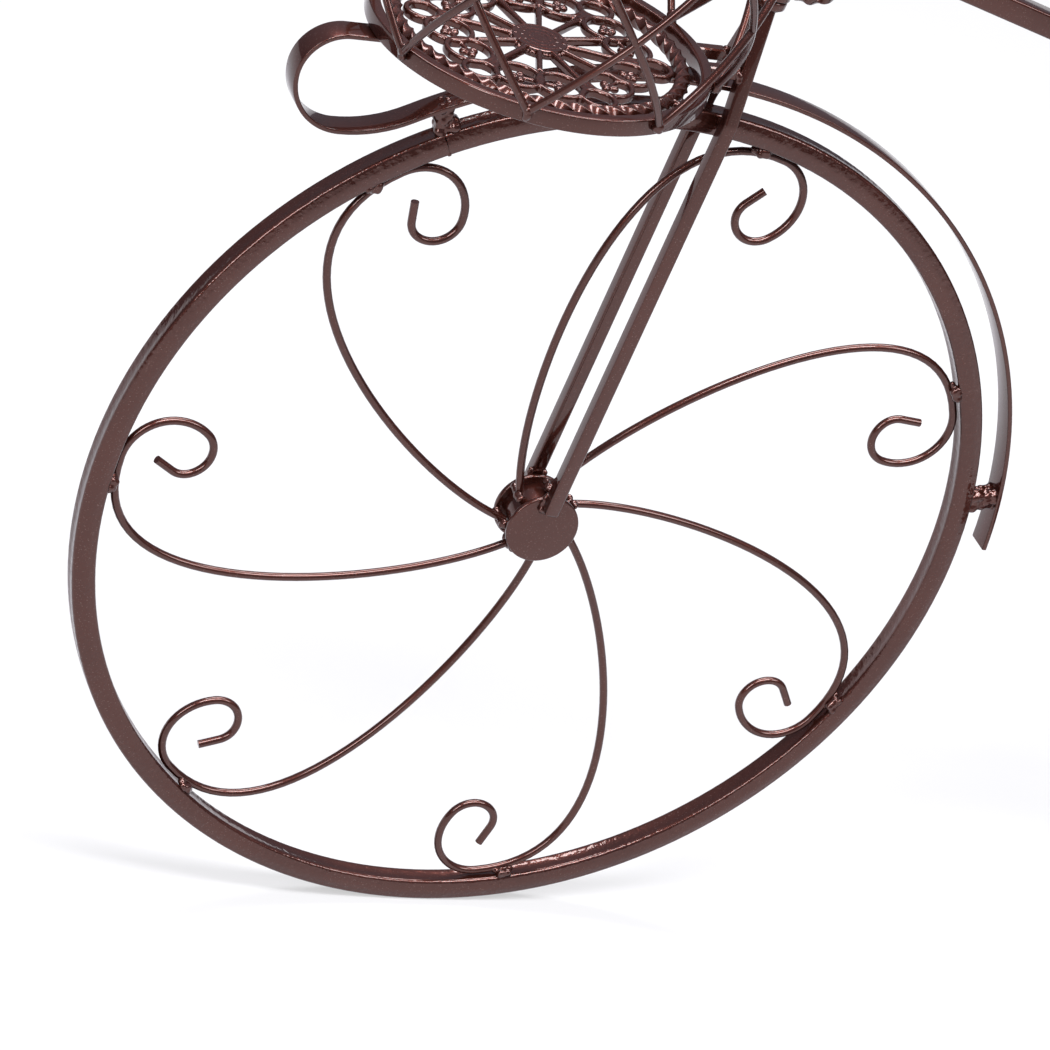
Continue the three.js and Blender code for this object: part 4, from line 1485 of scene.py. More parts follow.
@dataclass(frozen=True)
class Basket:
    """Hoop of flat bar, a twisted ring, a cast filigree base and a cage of crossing wires."""

    fork: Fork
    wall: float = 0.005
    edge: float = 0.0006
    tab: float = 0.005
    twist_width: float = 0.005
    twist_corner: float = 0.0006
    ring_inset: float = 0.0065
    bumps: int = 52
    steps_per_bump: int = 10
    ring_stub_count: int = 4
    wire_radius: float = 0.0016
    seat: float = 0.0003
    cage_nodes: int = 8
    cage_flare_shares: tuple[float, float] = (0.33, -0.45)
    cage_wind_shares: tuple[float, float] = (2.03, -0.31)
    cage_steps: int = 28
    cage_height: float = 0.084
    cage_foot_lift: float = 0.0055  # lower ends of the wires above the hoop's underside
    cage_rim_radius: float = 0.0026
    cage_rim_steps: int = 96
    foot_weld: tuple[float, float] = (-0.0018, 0.0015)  # along Z, from a wire's foot
    head_weld: tuple[float, float] = (-0.001, 0.001)  # along Y, from its upper end
    head_drop: float = 0.0022
    bead: float = 0.0015
    # Of the tab: where the weld at its tip lies, across and up
    weld_shares: Pairs = ((-0.5, 0.1), (0.0, 1.0), (0.5, 0.1))

    @property
    def station(self) -> Station:
        """The end of the bicycle that the basket is on."""
        return self.fork.station

    @property
    def middle(self) -> Vector:
        """The basket's middle on the ground plane of its hoop, in the row frame."""
        cage = middle_of(self.station.node("basket_cage"))
        return Vector((cage.x, cage.y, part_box(self.station.node("basket_hoop"))[0].z))

    @property
    def place(self) -> Matrix:
        """Takes a point given round the basket's middle to the row frame."""
        turn = 0.0 if self.station.end is End.FRONT else pi
        return Matrix.Translation(self.middle) @ Matrix.Rotation(turn, 4, "Z")

    @property
    def radius(self) -> float:
        """Outer radius of the hoop."""
        return span_of(self.station.node("basket_hoop")).y / 2

    @property
    def ring_radius(self) -> float:
        """Radius of the twisted bar's middle."""
        return self.radius - self.wall - self.ring_inset

    def build(self, bench: Bench) -> None:
        """Makes the basket's pieces."""
        self.hoop(bench)
        self.ring(bench)
        self.cage(bench)
        Filigree(self).build(bench)

    def hoop(self, bench: Bench) -> None:
        """The flat bar on edge, with the two tabs to the fork's legs."""
        height = span_of(self.station.node("basket_hoop")).z
        outline = rounded_box(self.wall, height, self.edge, 3)
        middle = self.radius - self.wall / 2
        form = revolve([(middle + u, height / 2 + v) for u, v in outline], 160, ring=True)
        low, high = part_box(self.station.node("basket_hoop"))
        leg_y = self.fork.leg_across(low.z - middle_of(self.station.node("rim")).z + self.tab / 2)
        reach = high.x - low.x - self.radius
        start = sqrt(self.radius**2 - leg_y**2) - self.wall / 2
        for side in (-1, 1):
            size = Vector((reach - start, self.tab, self.tab))
            form.add(block(size, Vector(((reach + start) / 2, side * leg_y, self.tab / 2)), self.edge))
            tip = [Vector((reach, side * leg_y + self.tab * y, self.tab * z)) for y, z in self.weld_shares]
            bench.seam(self.station.body, tip, self.bead, self.place)
        piece = form.moved(self.place).to_object(self.station.node("flat_bar_hoop"))
        bench.hand_over(piece, self.station.body, self.station.node("basket_hoop"))

    def ring(self, bench: Bench) -> None:
        """The twisted bar, held to the hoop by short lumps of weld."""
        steps = self.bumps * self.steps_per_bump
        lift = span_of(self.station.node("basket_ring")).z / 2
        line = circle(self.ring_radius, lift, steps)[:-1]
        piece = path_mesh(self.station.node("twisted_ring"), [line], closed=True)
        bench.twist.apply(
            piece,
            Material=ENAMEL.material(),
            Width=self.twist_width,
            Corner=self.twist_corner,
            Turn=pi / 2 / self.steps_per_bump,
            Axis=tuple(Z_AXIS),
        )
        freeze(piece).data.transform(self.place)
        bench.hand_over(piece, self.station.body, self.station.node("basket_ring"))
        reach = (self.ring_radius + self.wall / 3, self.radius - self.wall)
        stub = [Vector((x, 0, lift)) for x in reach]
        for number in range(self.ring_stub_count):
            turn = self.place @ Matrix.Rotation(FULL_TURN * (number + 0.5) / self.ring_stub_count, 4, "Z")
            bench.seam(self.station.body, stub, self.bead * 1.1, turn)

    def wire(self, hand: int) -> list[Vector]:
        """One wire of the cage, which flares and winds round as it climbs.

        Args:
            hand: 1 or -1, the way it winds.

        Returns:
            The wire's middle line, from its foot.
        """
        base = self.cage_foot_lift
        top = self.cage_height - base
        wheel = span_of(self.station.node("rim")).z / 2
        start = pi / self.cage_nodes
        found = []
        for step in range(self.cage_steps + 1):
            height = top * step / self.cage_steps
            climb = height / wheel
            flare = self.cage_flare_shares[0] * climb + self.cage_flare_shares[1] * climb**2
            wind = self.cage_wind_shares[0] * climb + self.cage_wind_shares[1] * climb**2
            out = self.radius + self.seat + self.wire_radius + flare * wheel
            found.append(round_z(out, start + hand * wind, base + height))
        return found

    def cage(self, bench: Bench) -> None:
        """The crossing wires, welded in pairs to the hoop's outside, and the round bar on top."""
        wires = [self.wire(-1), self.wire(1)]
        top = wires[0][-1]
        line = circle(hypot(top.x, top.y), top.z, self.cage_rim_steps)
        cage = bench.round_bar(
            "wires", wires, self.wire_radius, 14, self.cage_nodes, axis=Z_AXIS, place=self.place
        )
        rim = bench.round_bar("top bar", [line], self.cage_rim_radius, 20, place=self.place)
        piece = joined(self.station.node("crossing_wires"), [cage, rim])
        shade(piece.data, 50.0)
        bench.hand_over(piece, self.station.body, self.station.node("basket_cage"))
        for number in range(self.cage_nodes):
            turn = self.place @ Matrix.Rotation(FULL_TURN * number / self.cage_nodes, 4, "Z")
            for wire in wires:
                foot = [wire[0] + Z_AXIS * z for z in self.foot_weld]
                bench.seam(self.station.body, foot, self.bead * 1.2, turn)
                head = [wire[-1] + Vector((0, y, -self.head_drop)) for y in self.head_weld]
                bench.seam(self.station.body, head, self.bead * 0.7, turn)


@dataclass(frozen=True)
class Filigree:
    """The cast base: a grooved disc, twelve ribs, six pairs of loops with buds, and six loops between."""

    basket: Basket
    rib_width: float = 0.0026
    loop_wall: float = 0.0024
    disc_share: float = 0.208
    pair_loop_share: float = 0.191
    pair_orbit_share: float = 0.692
    pair_half_angle: float = 12.7
    outer_loop_share: float = 0.1456
    unit_count: int = 6
    phase: float = 12.0
    round_share: float = 0.42  # radius of a rib's corners, of its width
    flat_share: float = 0.86  # height of a lobe, of its width
    lobe: float = 0.0019
    stem: float = 0.0010
    groove_depth: float = 0.00014
    groove_count: int = 4
    bead_radius: float = 0.0013
    voxel: float = 0.00048
    smoothing: int = 4
    # Of a lobe's radius: where a bud's three lobes stand, across the stem and beyond it
    lobe_shares: Pairs = ((-1.25, -0.35), (1.25, -0.35), (0.0, 1.1))

    @property
    def node(self) -> str:
        """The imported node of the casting."""
        return self.basket.station.node("basket_filigree")

    @property
    def inside(self) -> float:
        """Radius of the opening within the twisted ring."""
        return self.basket.ring_radius - self.basket.twist_width / sqrt(2)

    def bar_section(self, width: float, height: float) -> Outline:
        """A cast bar's section, half round on top and below."""
        return rounded_box(width, height, width * self.round_share)

    def loop(self, radius: float, orbit: float, angle: float, height: float) -> Form:
        """A round loop.

        Args:
            radius: of its outside.
            orbit: its middle's distance from the casting's.
            angle: degrees, of its middle round the casting.
            height: of the casting.

        Returns:
            The loop.
        """
        middle = radius - self.loop_wall / 2
        outline = self.bar_section(self.loop_wall, height)
        ring = revolve([(middle + u, height / 2 + v) for u, v in outline], 48, ring=True)
        return ring.moved(Matrix.Translation(round_z(orbit, radians(angle))))

    def rib(self, reach: float, angle: float, height: float) -> Form:
        """A straight rib from the middle outwards.

        Args:
            reach: its length.
            angle: degrees, of its direction.
            height: of the casting.

        Returns:
            The rib.
        """
        outline = self.bar_section(self.rib_width, height)
        loops = [[Vector((x, u, height / 2 + v)) for u, v in outline] for x in (0.0, reach)]
        return skin(loops).moved(Matrix.Rotation(radians(angle), 4, "Z"))

    def bud(self, orbit: float, side: int, height: float) -> Form:
        """A stem from the wall that two loops share, with three lobes at its end.

        Args:
            orbit: the loops' distance from the casting's middle.
            side: -1 or 1, the side of the first rib.
            height: of the casting.

        Returns:
            The bud.
        """
        away = radians(self.pair_half_angle)
        x, y = orbit * cos(away), orbit * sin(away)
        level = height / 2
        flat = Matrix.Diagonal((1.0, 1.0, self.flat_share, 1.0))
        stem = turned(self.stem, 0.0, y + self.lobe / 2, self.stem / 3, segments=12)
        form = stem.moved(along(Vector((0, side, 0)), Vector((x, 0, level))))
        lobe = ball(self.lobe, 20)
        for across, beyond in self.lobe_shares:
            spot = (x + self.lobe * across, side * (y + self.lobe * beyond), level)
            form.add(lobe.moved(Matrix.Translation(spot) @ flat))
        return form

    def unit(self, height: float) -> Form:
        """One sixth of the casting.

        Args:
            height: of the casting.

        Returns:
            The forms of that sixth, which melt together later.
        """
        pair, outer = self.inside * self.pair_loop_share, self.inside * self.outer_loop_share
        orbit = self.inside * self.pair_orbit_share
        outer_orbit = self.inside - outer
        away = self.pair_half_angle
        between = 180 / self.unit_count
        form = self.loop(pair, orbit, -away, height)
        form.add(self.loop(pair, orbit, away, height))
        form.add(self.loop(outer, outer_orbit, between, height))
        form.add(self.bud(orbit, -1, height)).add(self.bud(orbit, 1, height))
        form.add(self.rib(orbit * cos(radians(away)) - pair + self.loop_wall, 0.0, height))
        form.add(self.rib(outer_orbit - outer + self.loop_wall / 2, between, height))
        bead = ball(self.bead_radius, 16)
        for angle in (between / 2, between * 3 / 2):
            spot = round_z(self.inside * self.disc_share, radians(angle), height / 2)
            form.add(bead.moved(Matrix.Translation(spot)))
        return form

    def disc(self, height: float) -> Form:
        """The centre disc with its concentric grooves.

        Args:
            height: of the casting.

        Returns:
            The disc.
        """
        radius = self.inside * self.disc_share
        edge = self.groove_depth * 1.5
        profile: Outline = [(0.0, 0.0), (radius - edge, 0.0), (radius, edge), (radius, height - edge)]
        steps = 64
        for step in range(steps + 1):
            r = (radius - edge) * (1 - step / steps)
            wave = (1 - cos(FULL_TURN * self.groove_count * step / steps)) / 2
            profile.append((r, height - self.groove_depth * wave))
        return revolve(profile, 72)

    def build(self, bench: Bench) -> None:
        """Makes the casting as one melted piece, with its disc."""
        low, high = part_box(self.node)
        height = high.z - low.z
        station = self.basket.station
        piece = self.unit(height).to_object("casting")
        bench.copies.apply(
            piece,
            Material=CAST_ENAMEL.material(),
            Count=self.unit_count,
            First_angle=radians(self.phase),
            Axis=tuple(Z_AXIS),
        )
        melted(piece, self.voxel, self.smoothing)
        disc = self.disc(height).to_object("disc")
        whole = joined(station.node("cast_filigree"), [piece, disc])
        place = self.basket.place
        place.translation.z = low.z
        whole.data.transform(place)
        bench.hand_over(whole, station.body, self.node, finish=CAST_ENAMEL)


@dataclass(frozen=True)
class Upright:
    """The round tube that stands over a fork: the head tube or the seat tube."""

    fork: Fork
    node: str
    radius: float = 0.008
    bore: float = 0.0063
    lip: float = 0.0005
    running_gap: float = 0.0005
    length: float = 0.078

    @property
    def bottom(self) -> float:
        """Height of the tube's lower end above the hub, along the lean."""
        return self.fork.crown_bottom + self.fork.crown_height + self.running_gap

    @property
    def top(self) -> float:
        """Height of the tube's upper end above the hub, along the lean."""
        return self.bottom + self.length

    def build(self, bench: Bench) -> None:
        """Makes the tube with a rolled lip at each end."""
        form = turned(self.radius, self.bottom, self.top, self.lip, self.bore, segments=64)
        piece = form.moved(self.fork.axis_place).to_object("drawn_" + self.node)
        bench.hand_over(piece, Body.FRAME, self.node)


@dataclass(frozen=True)
class Steering:
    """Steerer, collar, handlebar and two ribbed grips."""

    upright: Upright
    steerer_radius: float = 0.0058
    tube_wall: float = 0.0012
    seat: float = 0.0003
    stem_length: float = 0.062
    collar_radius: float = 0.009
    collar_height: float = 0.010
    collar_edge: float = 0.0012
    bar_radius: float = 0.006
    centre_half: float = 0.028
    rise: float = 0.026
    shoulder: float = 0.064
    bend_half: float = 0.104
    bend_back: float = 0.030
    shoulder_share: float = 0.2
    grip_angle: float = 25.0
    grip_run: float = 0.080
    grip_length: float = 0.072
    grip_radius: float = 0.009
    grip_end_wall: float = 0.003
    rib_count: int = 11
    rib_height: float = 0.0006
    rib_share: float = 0.62  # width of a rib, of the ribs' pitch
    rib_round_share: float = 0.8
    weld_share: float = 0.92  # radius of the weld under the handlebar, of the steerer's
    weld_rise_share: float = 0.12  # how far it climbs the bar's sides, of the bar's radius
    weld_steps: int = 12
    bead: float = 0.0014

    @property
    def place(self) -> Matrix:
        """Takes a point round the steering axis, at the hub's height, to the row frame."""
        return self.upright.fork.axis_place

    @property
    def top(self) -> float:
        """Height of the steerer's top above the hub, along the lean."""
        return self.upright.top + self.stem_length

    def half_bar(self, side: int) -> list[Vector]:
        """Half of the handlebar's middle line, from its middle to its end.

        Args:
            side: -1 or 1, the sign of its Y.

        Returns:
            The line's points, round the steering axis.
        """
        level = self.top + self.seat + self.bar_radius
        away = radians(self.grip_angle)
        middle = (self.centre_half + self.shoulder) / 2
        foot = [Vector((0, y, z)) for y, z in ((self.centre_half, 0), (middle, 0), (middle, self.rise))]
        shoulder = Vector((self.bend_back * self.shoulder_share, self.shoulder, self.rise))
        corner = Vector((0, self.bend_half - self.bend_back * tan(away), self.rise))
        bend = Vector((self.bend_back, self.bend_half, self.rise))
        line = bezier([*foot, shoulder], 16) + bezier([shoulder, corner, bend], 20)[1:]
        line.append(bend + round_z(self.grip_run, away))
        return [Vector((p.x, side * p.y, level + p.z)) for p in line]

    def build(self, bench: Bench) -> None:
        """Makes the steering's pieces."""
        bottom = self.upright.bottom - self.upright.running_gap + self.seat
        radius, wall = self.steerer_radius, self.tube_wall
        steerer = turned(radius, bottom, self.top, wall / 3, bore=radius - wall)
        piece = steerer.moved(self.place).to_object("drawn_steerer")
        bench.hand_over(piece, Body.FRONT_END, "steerer")
        low = self.upright.top + self.upright.running_gap
        high = low + self.collar_height
        collar = turned(self.collar_radius, low, high, self.collar_edge, radius + self.seat, segments=64)
        piece = collar.moved(self.place).to_object("turned_collar")
        bench.hand_over(piece, Body.FRONT_END, "headset_collar")
        line = list(reversed(self.half_bar(-1))) + self.half_bar(1)
        bar = bench.round_bar("bent_handlebar", [line], self.bar_radius, 32, place=self.place)
        bench.hand_over(bar, Body.FRONT_END, "handlebar")
        out = self.steerer_radius * self.weld_share
        round_top = circle(out, self.top, self.weld_steps)
        for point in round_top:
            point.z += abs(point.x) / out * self.bar_radius * self.weld_rise_share
        bench.seam(Body.FRONT_END, round_top, self.bead, self.place)
        for side, word in ((-1, "left"), (1, "right")):
            self.grip(bench, side, word)

    def grip(self, bench: Bench, side: int, word: str) -> None:
        """A closed rubber sleeve with raised ribs and a domed end.

        Args:
            bench: where it is made.
            side: -1 or 1, the sign of its Y.
            word: which of the two it is.
        """
        line = self.half_bar(side)
        end, run = line[-1], (line[-1] - line[-2]).normalized()
        tip = self.grip_end_wall + self.seat
        core = self.grip_radius - self.rib_height
        flange, flange_run = self.grip_radius, self.grip_end_wall
        start = tip - self.grip_length
        profile: Outline = [(0.0, tip)]
        dome_steps = 6
        for step in range(1, dome_steps + 1):
            turn = pi / 2 * step / dome_steps
            profile.append((core * sin(turn), tip - self.grip_end_wall * (1 - cos(turn))))
        bore = self.bar_radius + self.seat
        lip = self.rib_height / 2
        profile += [
            (core, start + flange_run + lip),
            (flange, start + flange_run - lip),
            (flange, start + lip),
            (flange - lip, start),
            (bore, start),
            (bore, start + flange_run),
            (0.0, start + flange_run),
        ]
        sleeve = revolve(profile, 64)
        pitch = (self.grip_length - flange_run - 3 * self.grip_end_wall) / self.rib_count
        width = pitch * self.rib_share
        outline = rounded_box(2 * self.rib_height, width, self.rib_height * self.rib_round_share)
        rib = revolve([(core + u, v) for u, v in outline], 64, ring=True)
        rib_piece = rib.moved(Matrix.Translation((0, 0, start + flange_run + pitch))).to_object("rib")
        bench.row.apply(rib_piece, Material=RUBBER.material(), Count=self.rib_count, Pitch=(0.0, 0.0, pitch))
        piece = joined("ribbed_grip_" + word, [sleeve.to_object("sleeve"), freeze(rib_piece)])
        piece.data.transform(self.place @ along(run, end))
        shade(piece.data, 35.0)
        bench.hand_over(piece, Body.FRONT_END, "grip_" + word, finish=RUBBER)


@dataclass(frozen=True)
class Seat:
    """The seat post and the pear-shaped saddle of sheet steel."""

    upright: Upright
    post_radius: float = 0.0058
    tube_wall: float = 0.0012
    post_depth: float = 0.040
    post_reach: float = 0.016
    crown: float = 0.0035
    edge_share: float = 0.045  # of the half width, taken up by the round edge
    # Half of the saddle's outline from tail to nose, as shares of its length and half width:
    # each row is two handles and the point that they lead to
    outline_shares: tuple[tuple[float, ...], ...] = (
        (-0.5, 0.62, -0.42, 1.0, -0.22, 1.0),
        (-0.02, 1.0, 0.1, 0.34, 0.32, 0.3),
        (0.45, 0.28, 0.5, 0.16, 0.5, 0.0),
    )
    curve_steps: int = 14
    # Rows of the saddle's skin: shares of the outline below, then steps round the edge and over the top
    under_shares: tuple[float, ...] = (0.02, 0.4, 0.75, 0.93)
    edge_steps: int = 8
    top_steps: int = 10
    weld_drop: float = 0.0004  # below the post's end
    weld_steps: int = 12
    bead: float = 0.0014

    def outline(self, length: float, width: float) -> list[Vector]:
        """The saddle's outline round its middle, from tail to nose and back.

        Args:
            length: of the saddle.
            width: of the saddle.

        Returns:
            The outline's points.
        """
        half = [Vector((-length / 2, 0, 0))]
        for shares in self.outline_shares:
            row = [Vector((u * length, v * width / 2, 0)) for u, v in zip(shares[::2], shares[1::2])]
            half.extend(bezier([half[-1], *row], self.curve_steps)[1:])
        back = [Vector((p.x, -p.y, 0)) for p in reversed(half[1:-1])]
        return half + back

    def build(self, bench: Bench) -> None:
        """Makes the post and the saddle."""
        place = self.upright.fork.axis_place
        top = self.upright.top
        bore = self.post_radius - self.tube_wall
        low, high = top - self.post_depth, top + self.post_reach
        post = turned(self.post_radius, low, high, self.tube_wall / 3, bore)
        bench.hand_over(post.moved(place).to_object("drawn_seat_post"), Body.FRAME, "seat_post")
        middle, size = middle_of("saddle"), span_of("saddle")
        outline = self.outline(size.x, size.y)
        turn = Matrix.Rotation(pi, 4, "Z")
        loops = []
        for share, level in self.levels(size.z):
            loops.append([Vector((p.x * share, p.y * share, level)) for p in outline])
        ground = Matrix.Translation((middle.x, middle.y, middle.z - size.z / 2))
        piece = skin(loops).moved(ground @ turn).to_object("pressed_saddle", 60.0)
        bench.hand_over(piece, Body.FRAME, "saddle")
        ring = circle(self.post_radius, top + self.post_reach - self.weld_drop, self.weld_steps)
        bench.seam(Body.FRAME, ring, self.bead, place)

    def levels(self, thickness: float) -> list[tuple[float, float]]:
        """The rows of the saddle's skin, from the underside's middle round its edge to the top's.

        Args:
            thickness: of the saddle's edge.

        Returns:
            For each row its share of the outline and its height.
        """
        found = [(share, 0.0) for share in self.under_shares]
        for step in range(1, self.edge_steps):
            turn = pi * step / self.edge_steps
            share = 1 - self.edge_share * (1 - sin(turn))
            found.append((share, thickness * (1 - cos(turn)) / 2))
        for step in range(self.top_steps):
            share = self.under_shares[-1] * (1 - step / (self.top_steps - 0.5))
            found.append((share, thickness + self.crown * (1 - share**2)))
        return found


@dataclass(frozen=True)
class Frame:
    """The two sloping tubes, their twisted corner braces, the post, the bottom bracket and the stays."""

    front: Upright
    rear: Upright
    stock: SquareTube = SquareTube()
    slope: float = 15.3
    main_drop: float = 0.0363
    seat: float = 0.0003
    twist_width: float = 0.005
    twist_corner: float = 0.0006
    gusset_radius: float = 0.0165
    gusset_setback: float = 0.007
    gusset_drop: float = 0.0262
    gusset_start: float = -145.0
    gusset_sweep: float = 170.0
    gusset_bumps: int = 7
    steps_per_bump: int = 12
    # Where the arc's welds lie from its middle, across and up
    gusset_feet: Pairs = (
        (-0.0092, -0.0160),
        (-0.0085, -0.0100),
        (0.0115, 0.0060),
        (0.0175, 0.0035),
    )
    shell_radius: float = 0.012
    shell_half: float = 0.020
    shell_edge: float = 0.0008
    crank_bore: float = 0.0045
    stay_end: float = 0.012
    bead: float = 0.0013

    def build(self, bench: Bench) -> None:
        """Makes the frame's pieces."""
        for upright, tube_node, gusset_node in (
            (self.front, "main_tube_front", "gusset_arc_front"),
            (self.rear, "main_tube_rear", "gusset_arc_rear"),
        ):
            self.main_tube(bench, upright, tube_node)
            self.gusset(bench, upright, gusset_node)
        self.post(bench)
        self.bracket(bench)
        self.stays(bench)

    def main_tube(self, bench: Bench, upright: Upright, node: str) -> None:
        """A sloping tube, mitred to the leaning tube at one end and to the post at the other.

        Args:
            bench: where it is made.
            upright: the leaning tube.
            node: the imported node.
        """
        place = upright.fork.station.place
        lean = radians(upright.fork.lean)
        slope = -tan(radians(self.slope))
        start_height = upright.top - self.main_drop
        offset = (upright.fork.offset + upright.radius + self.seat) / cos(lean)
        start_x = (offset + tan(lean) * start_height) / (1 - tan(lean) * slope)
        end_x = abs(middle_of(upright.fork.station.node("rim")).x) - self.stock.width / 2 - self.seat
        start = Vector((start_x, 0, start_height + slope * start_x))
        end = Vector((end_x, 0, start_height + slope * end_x))
        face = Vector((cos(lean), 0, -sin(lean)))
        form = self.stock.between(start, end, Y_AXIS, face, X_AXIS)
        piece = form.moved(place).to_object("sloping_" + node)
        bench.hand_over(piece, Body.FRAME, node)
        run = (end - start).normalized()
        rise = run.cross(Y_AXIS)
        for at, normal in ((start, face), (end, X_AXIS)):
            ring = []
            for u, v in self.stock.seam:
                corner = Y_AXIS * u + rise * v
                ring.append(at + corner - run * (corner.dot(normal) / run.dot(normal)))
            bench.seam(Body.FRAME, ring, self.bead * 0.75, place)

    def gusset(self, bench: Bench, upright: Upright, node: str) -> None:
        """An arc of twisted bar in the corner under a sloping tube, cut to the upright's bore.

        Args:
            bench: where it is made.
            upright: the leaning tube.
            node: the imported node.
        """
        fork = upright.fork
        lean = radians(fork.lean)
        level = upright.top - self.main_drop - self.gusset_drop
        back = (fork.offset + upright.radius + self.seat) / cos(lean) + tan(lean) * level
        middle = Vector((back + self.gusset_setback, 0, level))
        steps = self.gusset_bumps * self.steps_per_bump
        points = []
        for step in range(steps + 1):
            turn = radians(self.gusset_start + self.gusset_sweep * step / steps)
            points.append(middle + self.gusset_radius * in_plane(turn))
        place = fork.station.place
        piece = path_mesh("twisted_" + node, [[place @ p for p in points]])
        bench.twist.apply(
            piece,
            Material=ENAMEL.material(),
            Width=self.twist_width,
            Corner=self.twist_corner,
            Turn=pi / 2 / self.steps_per_bump,
            Axis=tuple(Y_AXIS),
        )
        core = turned(upright.bore + self.seat, fork.crown_bottom / 2, upright.top, self.seat)
        carved(freeze(piece), core.moved(fork.axis_place))
        shade(piece.data, 40.0)
        bench.hand_over(piece, Body.FRAME, node)
        for x, z in self.gusset_feet:
            foot = [place @ (middle + Vector((x, y, z))) for y in (-self.bead, self.bead)]
            bench.seam(Body.FRAME, foot, self.bead)

    def post(self, bench: Bench) -> None:
        """The upright post between the two sloping tubes and the bottom bracket."""
        low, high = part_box("centre_post")
        middle = middle_of("centre_post")
        start, end = Vector((middle.x, middle.y, low.z)), Vector((middle.x, middle.y, high.z))
        piece = self.stock.between(start, end, Y_AXIS).to_object("square_post")
        bench.hand_over(piece, Body.FRAME, "centre_post")
        ring = [start + Vector((u, v, 0)) for u, v in self.stock.seam]
        bench.seam(Body.FRAME, ring, self.bead * 0.8)

    def bracket(self, bench: Bench) -> None:
        """The crank's shell, with its bore."""
        middle = middle_of("bottom_bracket")
        radius, half = self.shell_radius, self.shell_half
        shell = turned(radius, -half, half, self.shell_edge, self.crank_bore, segments=64)
        lie = Matrix.Translation(middle) @ Matrix.Rotation(pi / 2, 4, "X")
        piece = shell.moved(lie).to_object("machined_bracket")
        bench.hand_over(piece, Body.FRAME, "bottom_bracket")

    def stays(self, bench: Bench) -> None:
        """The two square stays from the bottom bracket to the rear hub."""
        for node in ("chain_stay_left", "chain_stay_right"):
            y = middle_of(node).y
            rear = middle_of("rear_rim")
            start = Vector((self.shell_radius + self.seat, y, middle_of("crank").z))
            end = Vector((rear.x - self.stay_end, y, rear.z))
            piece = self.stock.between(start, end, Y_AXIS).to_object("square_" + node)
            bench.hand_over(piece, Body.FRAME, node)
            for at in (start, end):
                ring = [at + Vector((0, u, v)) for u, v in self.stock.seam]
                bench.seam(Body.FRAME, ring, self.bead * 0.8)


@dataclass(frozen=True)
class Drive:
    """The bent crank and its two pedals."""

    rod_radius: float = 0.004
    pin_radius: float = 0.003
    pin_gap: float = 0.0005
    pin_edge: float = 0.0005
    crank_radius: float = 0.040
    arm_y: float = 0.026
    bend: float = 0.005
    tread_count: int = 5
    tread_height: float = 0.0008
    pedal_edge: float = 0.0012

    def build(self, bench: Bench) -> None:
        """Makes the crank and the pedals."""
        reach = self.crank_radius + self.rod_radius
        ends = ((-reach, -self.arm_y), (0, -self.arm_y), (0, self.arm_y), (reach, self.arm_y))
        corners = [Vector((x, y, 0)) for x, y in ends]
        rod = bench.round_bar("rod", [softened(corners, self.bend)], self.rod_radius, 28)
        pin_length = span_of("crank").y / 2 - self.arm_y
        pin = turned(self.pin_radius, 0.0, pin_length, self.pin_edge, segments=28)
        pins = []
        for side in (-1, 1):
            at = Vector((side * self.crank_radius, side * self.arm_y, 0))
            pins.append(pin.moved(along(Y_AXIS * side, at)).to_object("pin"))
        piece = joined("bent_crank", [rod, *pins])
        piece.data.transform(Matrix.Translation(middle_of("crank")))
        shade(piece.data, 45.0)
        bench.hand_over(piece, Body.CRANK, "crank")
        for word, body in (("left", Body.PEDAL_LEFT), ("right", Body.PEDAL_RIGHT)):
            self.pedal(bench, word, body)

    def pedal(self, bench: Bench, word: str, body: Body) -> None:
        """A block with treads across both faces and a bore for its pin.

        Args:
            bench: where it is made.
            word: which of the two it is.
            body: the body that it moves with.
        """
        node = "pedal_" + word
        size, middle = span_of(node), middle_of(node)
        core = Vector((size.x, size.y, size.z - 2 * self.tread_height))
        piece = block(core, Vector(), self.pedal_edge).to_object("slab")
        drill = turned(self.pin_radius + self.pin_gap, -size.y, size.y, self.pin_edge, segments=32)
        carved(piece, drill.moved(Matrix.Rotation(pi / 2, 4, "X")))
        pitch = size.x / self.tread_count
        tread_size = Vector((pitch * 0.45, size.y - 2 * self.pedal_edge, 2 * self.tread_height))
        treads = Form()
        for side in (-1, 1):
            at = Vector((pitch / 2 - size.x / 2, 0, side * (core.z / 2)))
            treads.add(block(tread_size, at, self.tread_height / 2))
        row = treads.to_object("treads")
        bench.row.apply(row, Material=ENAMEL.material(), Count=self.tread_count, Pitch=(pitch, 0.0, 0.0))
        whole = joined("treaded_" + node, [piece, freeze(row)])
        whole.data.transform(Matrix.Translation(middle))
        shade(whole.data, 35.0)
        bench.hand_over(whole, body, node)


